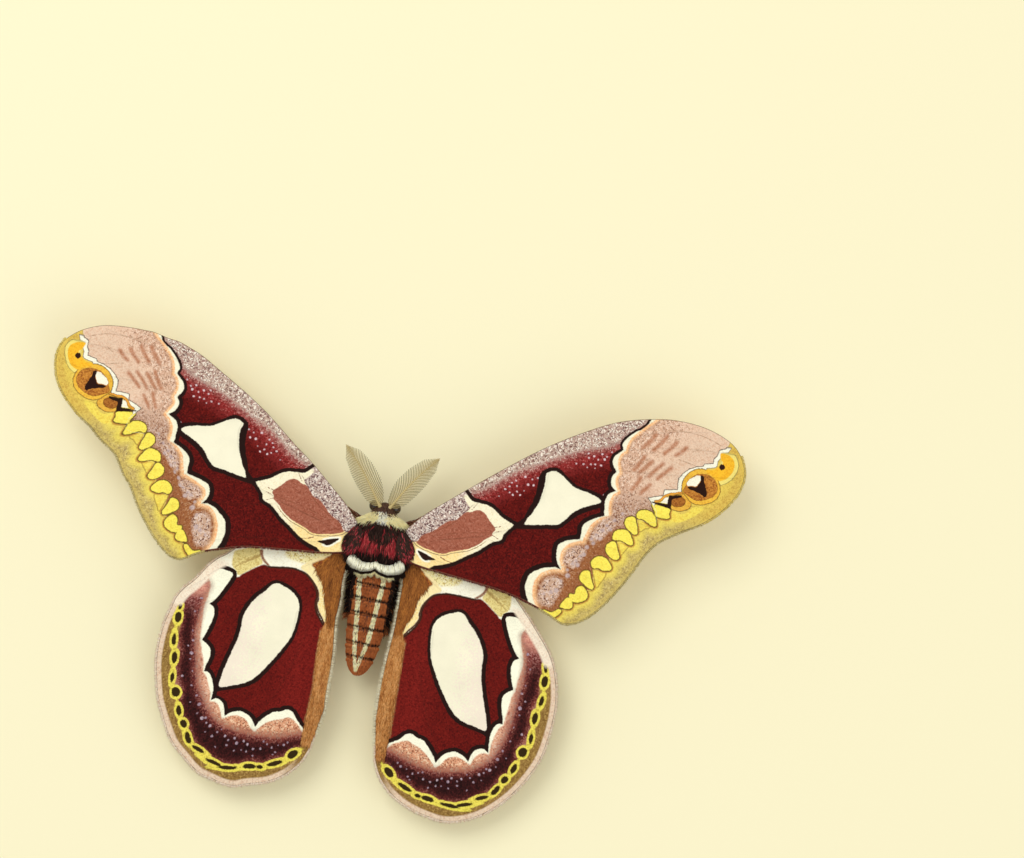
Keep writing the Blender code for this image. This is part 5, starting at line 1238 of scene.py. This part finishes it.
lie = np.stack([0.07 * across + 0.05 * rng.normal(size=count), np.full(count, -1.0), np.full(count, -0.16)],
               axis=-1)
up = np.tile(UP, (count, 1))
size = np.stack([np.maximum(root[:, 1] - edge, 0.3) * (0.92 + 0.12 * rng.random(count)), np.full(count, 0.15),
                 0.1 + 0.06 * rng.random(count), np.full(count, 0.35)], axis=-1)
draw = rng.random(count)
tint = dye(("#F4F0CC", "#FFFEE4", "#FFFFF0"), draw)
tint = pick(np.where(layer == 0, 0.13, 0.0), dye(("#7E7350", "#B8AC80"), draw), tint, rng.random(count))
tint[layer == 1] = dye(("#140C08", "#2A1A12"), draw)[layer == 1]
tint[layer == 2] = dye(("#F6E4A0", "#FFFAD4"), draw)[layer == 2]
tint[(layer == 2) & (side > 3.0)] = dye(("#140C08", "#2A1A12"), draw)[(layer == 2) & (side > 3.0)]
place = np.stack([0.5 + root[:, 0] / 40, 0.4 + root[:, 1] / 40 + 0.25 * layer], axis=-1)
for piece in tufts("rear_lobes", root, lie, up, size, tint, place, fur):
    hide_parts("thorax")

# Wing hair: long soft hair on the hindwing along the abdomen, chestnut ahead and tan behind. It lies back
# over the scales, close to the membrane.


def on_wing(plan, way, fore, side):
    """Plan places and ways in three dimensions where that wing stands; a way turns as a short step along it
    does."""
    stand = FORE_STAND if fore else HIND_STAND
    place, step = settle(plan, side, *stand), settle(plan + way * 0.1, side, *stand)
    return (np.concatenate([place, wing_height(plan, fore)[:, None]], axis=1),
            np.concatenate([(step - place) * 10, np.zeros((len(way), 1))], axis=1))


WING_HAIRS = 26000
for word, side in SIDES:
    rng = np.random.default_rng(30 + side)
    spread = rng.random((WING_HAIRS, 2)) * (5.5, 34.0) + (3.9, -34.5)
    inner = np.interp(spread[:, 1], (-34, -28, -18, -13, -5, -2), (5.1, 4.2, 4.4, 4.9, 5.0, 4.4))
    outer = np.interp(spread[:, 1], (-34, -15, -13, -10, -7, -5, -2), (6.7, 6.9, 6.2, 7.4, 8.0, 9.0, 7.0))
    keep = (spread[:, 0] > inner) & (spread[:, 0] < outer - 0.5 * rng.random(len(spread)))
    plan = spread[keep]
    upper = plan[:, 1] > -13.5
    way = np.stack([
        np.where(upper, 0.12 * (plan[:, 0] - 4.5) * np.interp(plan[:, 1], (-13, -4), (-0.8, 1)), 0.02)
        + 0.08 * rng.normal(size=len(plan)),
        -np.ones(len(plan)),
    ], axis=-1)
    root, lie = on_wing(plan, way, False, side)
    up = np.tile(UP, (len(root), 1))
    length = np.where(upper, 1.7, 1.5) * (0.7 + 0.5 * rng.random(len(root)))
    size = np.stack([length, np.full(len(root), 0.13), 0.14 + 0.06 * rng.random(len(root)),
                     np.full(len(root), 0.3)], axis=-1)
    draw = np.clip(rng.random(len(root)) * 0.8 + 0.12 + 0.2 * ripple(root * (1, 0.2, 0), 0.8, 31), 0, 1)
    tint = np.where(upper[:, None], dye(("#6E3E1C", "#A1642F", "#C07C38"), draw),
                    dye(("#9A5A2A", "#CE8E4C", "#E6B070"), draw))
    place = np.stack([plan[:, 0] / 40, -plan[:, 1] / 50], axis=-1)
    for piece in tufts(f"hindwing_{word}_hair", root + (0, 0, 0.1), lie, up, size, tint, place, fur):
        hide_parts(f"hindwing_{word}")

# Wing fringe: fine flat hair-scales that stand out of every wing's edge. Their roots are sunk into the
# membrane, and they take the colours of the edge band beside them.


def fringe(outline, first, last, count, seed):
    """Evenly spread places on a stretch of the outline with the way out of the wing at each."""
    rng = np.random.default_rng(seed)
    line = outline[first : last + 1]
    run = run_of(line)
    at = rng.random(count) * run[-1]
    ahead = unit(part_way(at + 0.3, run, line) - part_way(at - 0.3, run, line))
    return rng, part_way(at, run, line), np.stack([-ahead[:, 1], ahead[:, 0]], axis=-1)


EDGE_HAIRS, SUNK = 4600, 0.25
for fore, shape, keys, length in ((True, FORE_OUTLINE, (13, 31), 0.32), (False, HIND_OUTLINE, (5, 28), 0.42)):
    outline = spline(shape, step=0.1, closed=True)
    first, last = between(outline, [shape[k] for k in keys])
    for word, side in SIDES:
        rng, plan, way = fringe(outline, first, last, EDGE_HAIRS, 40 + side + 3 * fore)
        x, y = plan[:, 0], plan[:, 1]
        root, lie = on_wing(plan - way * SUNK, way + 0.15 * rng.normal(size=way.shape), fore, side)
        inner = (x < 7) & (y > -33) & (not fore)
        reach = SUNK + length * np.where(inner, 1.4, 1.0)
        size = np.stack([reach * (0.7 + 0.5 * rng.random(len(x))), np.where(inner, 0.07, 0.11),
                         0.04 + 0.06 * rng.normal(size=len(x)), np.full(len(x), 0.12)], axis=-1)
        draw = rng.random(len(x))
        if fore:
            tint = dye(("#9A8A54", "#CDBB72", "#E2D49A"), draw)
            tint = np.where((y > 13)[:, None], dye(("#B89A44", "#E6CC62", "#F4E48E"), draw), tint)
            tint = np.where((x < 28)[:, None] & (y < 0)[:, None],
                            dye(("#3A1210", "#6A2A24", "#8A4A40"), draw), tint)
        else:
            tint = dye(("#D8BC9E", "#F2DCC4", "#FBF0DE"), draw)
            tint = np.where(inner[:, None], dye(("#A89468", "#F6EECC", "#FFFCE6"), draw), tint)
        place = np.stack([plan[:, 0] / 70 + 0.1, plan[:, 1] / 70 + 0.4 + 0.2 * (not fore)], axis=-1)
        up = np.tile(UP, (len(root), 1))
        name = ("forewing" if fore else "hindwing") + f"_{word}"
        for piece in tufts(f"{name}_fringe", root, lie, up, size, tint, place, fur):
            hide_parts(name)

# Eyes: round compound eyes of chitin, dark brown and glossy, set in the sides of the head. Their facets are
# drawn 0.06 mm across, about twice the real ones, so that they show.


def flipped(faces):
    """The same faces seen from the other side."""
    return [block[:, ::-1] for block in faces]


# Polished chitin over dark pigment: a sharp highlight broken up by the facets
horn, tree = matter("compound eye chitin")
spot, cloud, tone = mottled(tree, 1500.0, 2.0, "#120A08", "#3A2216")
facet = add(tree, "TexVoronoi", {"Vector": spot, "Scale": 16000.0}).outputs["Distance"]
bump = add(tree, "Bump", {"Height": facet, "Strength": 0.4, "Distance": 0.00002}, invert=True).outputs[0]
finish_matter(tree, {"Base Color": tone, "Roughness": 0.16, "IOR": 1.56, "Normal": bump, "Coat Weight": 0.3})
down, turn = np.meshgrid(np.linspace(0.04, math.pi - 0.04, 40),
                         np.linspace(0, 2 * math.pi, 64, endpoint=False), indexing="ij")
for word, side in SIDES:
    ball = np.stack([np.cos(down), np.sin(down) * np.cos(turn), np.sin(down) * np.sin(turn)], axis=-1) * 0.95
    points, faces = tube(ball * (1, 1, 1.06) + (side * 1.72, 6.3, 5.6))
    bulb = solid(f"eye_{word}_ball", points + MOTH_AT, flipped(faces), horn)
    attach(bulb, "root")
    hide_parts(f"eye_{word}")

# Antennae: each a jointed shaft of straw-coloured chitin with two rows of slender branches, like a feather,
# and every branch is lined with fine bristles.


def ringed(line, radius, across, over, sides):
    """A ring of points round each point of a line: the radius times the way across by the cosine of the
    turn and the way over by its sine."""
    turn = np.arange(sides) * 2 * math.pi / sides
    ring = across[..., None, :] * np.cos(turn)[:, None] + over[..., None, :] * np.sin(turn)[:, None]
    return line[..., None, :] + radius[..., None, None] * ring


def rods(start, end, bow, thick, taper, sides=4, rings=4):
    """Joined tapering rods: each ring lies on the parabola from start to end that bows by that much half
    way."""
    along = np.linspace(0, 1, rings)[None, :, None]
    line = start[:, None] + (end - start)[:, None] * along + bow[:, None] * (4 * along * (1 - along))
    way = unit(np.gradient(line, axis=1))
    across = unit(np.cross(way, UP))
    grid = ringed(line, thick[:, None] * (1 - (1 - taper) * along[..., 0]), across, np.cross(across, way),
                  sides)
    many = len(start)
    points = np.concatenate([grid.reshape(many, -1, 3), line[:, :1], line[:, -1:]], axis=1)
    _, blocks = tube(grid[0])
    base = np.arange(many)[:, None, None] * points.shape[1]
    return points.reshape(-1, 3), [(block[:, ::-1] + base).reshape(-1, block.shape[1]) for block in blocks]


def joined(parts):
    """One list of points and one list of face blocks from several of them."""
    blocks, first = [], 0
    for points, faces in parts:
        blocks += [np.asarray(block) + first for block in faces]
        first += len(points)
    return np.concatenate([points for points, _ in parts]), blocks


# Thin horny chitin with a dull shine, which darkens to olive where the shade on the mesh says
straw, tree = matter("straw antenna chitin")
shade = add(tree, "Attribute", {}, attribute_name="shade").outputs["Fac"]
tone = blend(tree, shade, mottled(tree, 1400.0, 2.0, "#D9BC78", "#EFDCA0")[2], linear("#4E4A28"))
finish_matter(tree, {"Base Color": tone, "Roughness": 0.5, "Specular IOR Level": 0.3})
SHAFT = ((0.8, 6.3, 6.9), (1.6, 7.5, 7.6), (3.0, 9.7, 8.1), (5.3, 12.8, 8.3), (7.9, 15.7, 8.0))
PAIRS, BRISTLES, LONGEST = 33, 9, 2.75
for word, side in SIDES:
    shaft = spline(SHAFT, step=0.05) * (side, 1, 1)
    share = np.linspace(0, 1, len(shaft))
    way = unit(np.gradient(shaft, axis=0))
    across = np.cross(way, UP)
    knuckle = 1 + 0.16 * np.abs(np.sin(share * math.pi * PAIRS)) ** 3
    radius = 0.19 * (1 - 0.7 * share) * knuckle + 0.16 * np.exp(-np.square(share / 0.05))
    stem, faces = tube(ringed(shaft, radius, across, np.cross(across, way), 12))
    parts = [(stem, flipped(faces))]
    at = np.repeat((np.arange(PAIRS) + 0.7) / (PAIRS + 1), 2)
    hand = np.tile([1.0, -1.0], PAIRS)
    start, ahead = part_way(at, share, shaft), part_way(at, share, way)
    aside = np.cross(ahead, UP) * hand[:, None]
    # The plume is a leaf: branches longest two fifths of the way out, and none at the tip
    reach = LONGEST * np.interp(at, (0, 0.08, 0.25, 0.45, 0.7, 0.88, 0.95, 1),
                                (0.5, 0.78, 0.98, 1, 0.78, 0.32, 0.1, 0.05))
    lean = np.interp(at, (0, 0.7, 1), (1.0, 0.7, 0.45))
    end = start + reach[:, None] * (
        aside * np.sin(lean)[:, None] + ahead * np.cos(lean)[:, None]
    ) - [0, 0, 0.25]
    bow = -0.06 * reach[:, None] * ahead + [0, 0, 0.12]
    parts.append(rods(start, end, bow, np.full(len(at), 0.095), 0.5, rings=6))
    rng = np.random.default_rng(50 + side)
    along = (np.tile(np.arange(BRISTLES), len(at)) + 0.5) / BRISTLES * 0.86
    which = np.repeat(np.arange(len(at)), BRISTLES)
    root = start[which] + (end - start)[which] * along[:, None] - [0, 0, 0.03]
    root = root + bow[which] * (4 * along * (1 - along))[:, None]
    line = (end - start)[which] / reach[which][:, None]
    for turned in (1, -1):
        out = np.cross(line, UP) * turned
        hair = root + (
            line * 0.7 + out * 0.7 + 0.1 * rng.normal(size=root.shape)
        ) * (0.3 - 0.18 * along)[:, None]
        parts.append(rods(root, hair, np.zeros_like(root), np.full(len(root), 0.02), 0.3, sides=3, rings=2))
    points, faces = joined(parts)
    plume = solid(f"antenna_{word}_plume", points + MOTH_AT, faces, straw)
    # The branches are darker than the shaft, and darkest at their tips, and the bristles between them pale
    outward = off(points[:, :2], shaft[:, :2])
    dark = np.clip(0.4 + 0.2 * outward, 0, 0.88)
    first, last = len(parts[0][0]), len(parts[0][0]) + len(parts[1][0])
    dark[:first] = 0.3
    dark[last:] *= 0.25
    layer = plume.data.attributes.new("shade", "FLOAT", "POINT")
    layer.data.foreach_set("value", dark.astype(np.float32))
    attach(plume, "root")
    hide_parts(f"antenna_{word}")

# Legs: jointed tubes of chitin, swollen at the thigh and clad in short flat hair, down to a slim foot of
# five rings with two claws. The moth rests its weight on the feet. Stations of each leg from the body out:
# place and half width
LEGS = {
    "fore": ((1.9, 1.6, 4.4, 0.9), (2.6, 2.6, 3.1, 0.9), (5.5, 4.3, 4.2, 0.75), (6.2, 4.7, 4.0, 0.66),
             (8.5, 5.6, 1.4, 0.56), (9.1, 5.9, 0.66, 0.42), (10.2, 6.4, 0.3, 0.3), (11.9, 7.3, 0.26, 0.26),
             (12.5, 7.6, 0.24, 0.2)),
    "mid": ((2.6, -0.6, 4.2, 0.9), (3.5, -0.8, 3.0, 0.9), (7.3, -1.3, 4.3, 0.78), (8.1, -1.45, 4.1, 0.68),
            (11.3, -2.0, 1.4, 0.57), (12.0, -2.1, 0.66, 0.43), (13.3, -2.35, 0.3, 0.3),
            (15.1, -2.8, 0.26, 0.26), (15.8, -3.0, 0.24, 0.2)),
    "hind": ((2.5, -2.0, 4.2, 0.9), (4.0, -3.1, 2.7, 0.9), (6.0, -6.8, 4.2, 0.78), (6.5, -7.5, 4.1, 0.68),
             (7.7, -11.2, 1.4, 0.57), (7.9, -11.9, 0.66, 0.43), (8.2, -13.2, 0.3, 0.3),
             (8.6, -15.0, 0.26, 0.26), (8.7, -15.6, 0.24, 0.2)),
}
# Hard chitin, smooth enough to shine a little between the hairs
shin, tree = matter("brown leg chitin")
spot, mottle, tone = mottled(tree, 1200.0, 3.0, "#3A1C12", "#7A4428")
bump = add(tree, "Bump", {"Height": mottle, "Strength": 0.3, "Distance": 0.00005}).outputs[0]
finish_matter(tree, {"Base Color": tone, "Roughness": 0.42, "Normal": bump})
LEG_HAIRS = 2600
for pair, stations in LEGS.items():
    for word, side in SIDES:
        rail = spline(stations, step=0.08) * (side, 1, 1, 1)
        line, radius = rail[:, :3], rail[:, 3] * 0.72
        share = np.linspace(0, 1, len(line))
        run = np.cumsum(np.linalg.norm(np.diff(line, axis=0, prepend=line[:1]), axis=1))
        foot = np.clip((run - run[-1] + 4.6) / 0.6, 0, 1)
        radius = radius * (1 - 0.22 * foot * np.abs(np.cos((run - run[-1]) * math.pi / 0.92)) ** 6)
        line = line.copy()
        line[:, 2] = np.maximum(line[:, 2], radius * 0.99 + 0.005)
        way = unit(np.gradient(line, axis=0))
        across = unit(np.cross(way, UP))
        over = np.cross(across, way)
        limb, faces = tube(ringed(line, radius, across, over, 16))
        toe, ahead, beside = line[-1], way[-1] * (1, 1, 0), across[-1]
        start = np.stack([toe + beside * 0.09 * s for s in (1, -1)])
        end = start + ahead * 0.42 + np.stack([beside * 0.16 * s for s in (1, -1)]) - [0, 0, toe[2] - 0.02]
        claws = rods(start, end, np.array([[0, 0, 0.14]] * 2), np.full(2, 0.06), 0.15, sides=6, rings=7)
        shank = np.argmin(np.abs(share - 0.62))
        spurs = rods(
            np.stack([line[shank]] * 2),
            line[shank] + way[shank] * 0.9 + np.stack([across[shank] * 0.5 * s for s in (1, -1)]),
            np.zeros((2, 3)), np.full(2, 0.09), 0.2, sides=6, rings=3,
        )
        points, faces = joined([(limb, flipped(faces)), claws, spurs])
        points[:, 2] = np.maximum(points[:, 2], OFF_FLOOR)
        leg = solid(f"leg_{pair}_{word}_limb", points + MOTH_AT, faces, shin)
        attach(leg, "root")
        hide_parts(f"leg_{pair}_{word}")
        rng = np.random.default_rng(60 + side + len(pair))
        weight = np.cumsum(radius * np.interp(share, (0, 0.7, 0.95, 1), (1.3, 1.2, 0.6, 0.2)))
        at = np.interp(rng.random(LEG_HAIRS) * weight[-1], weight, np.arange(len(share)))
        spin = rng.random(len(at)) * 2 * math.pi
        centre, ahead, beside, above = (
            part_way(at, np.arange(len(share)), v) for v in (line, way, across, over)
        )
        out = beside * np.cos(spin)[:, None] + above * np.sin(spin)[:, None]
        thick = np.interp(at, np.arange(len(share)), radius)
        root = centre + out * (thick - 0.05)[:, None]
        # Long on the thigh and short on the foot, where it lies flat so as not to reach into the floor
        length = np.interp(thick, (0.15, 0.3, 0.6), (0.28, 0.5, 1.15)) * (0.7 + 0.6 * rng.random(len(at)))
        low = root[:, 2] + length * -0.3 < 0.12
        size = np.stack([length, np.interp(thick, (0.15, 0.6), (0.07, 0.13)),
                         np.where(low, 0.02, 0.25) + 0.06 * rng.normal(size=len(at)),
                         np.where(low, 0.0, 0.3)], axis=-1)
        keep = root[:, 2] > 0.14
        tint = dye(("#4A241A", "#7E4630", "#A87458", "#D8C0A4"), rng.random(len(at)) ** 1.6)
        place = np.stack([at / len(share) * 0.9, spin / (2 * math.pi)], axis=-1)
        for piece in tufts(f"leg_{pair}_{word}_hair", root[keep],
                           ahead[keep] + 0.1 * rng.normal(size=ahead[keep].shape),
                           out[keep], size[keep], tint[keep], place[keep], fur):
            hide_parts(f"leg_{pair}_{word}")

# Camera and lights, as in the photo: straight down, the moth turned 8.5 degrees on the page, in soft studio
# light. The middle of the picture falls 19 mm to the right of the moth's origin and 22.3 mm ahead of it.
PAGE_TURN = math.radians(8.5)
ABOVE_WINGS = 567.0
eye = bpy.data.cameras.new("camera")
eye.lens, eye.sensor_width, eye.clip_start = 120.0, 36.0, 0.01
camera = bpy.data.objects.new("camera", eye)
bpy.context.scene.collection.objects.link(camera)
camera.location = (MOTH_AT + (19.0, 22.3, 8.0 + ABOVE_WINGS)) / 1000
camera.rotation_euler = (0, 0, PAGE_TURN)
bpy.context.scene.camera = camera
bpy.context.scene.view_settings.view_transform = "Standard"

world = bpy.data.worlds.new("studio")
world.use_nodes = True
sky = world.node_tree.nodes["Background"]
sky.inputs["Color"].default_value = (1.0, 0.99, 0.97, 1.0)
sky.inputs["Strength"].default_value = 0.66
bpy.context.scene.world = world
# Each lamp is a soft box that faces the moth: place in metres, width and power
LAMPS = (("key", (-0.30, 0.35, 0.60), 0.45, 2.1), ("fill", (0.40, -0.25, 0.50), 0.6, 0.8))
for name, place, width, power in LAMPS:
    lamp = bpy.data.lights.new(name, "AREA")
    lamp.size, lamp.energy = width, power
    light = bpy.data.objects.new(name, lamp)
    light.location = place
    light.rotation_euler = Vector(place).to_track_quat("Z", "Y").to_euler()
    bpy.context.scene.collection.objects.link(light)
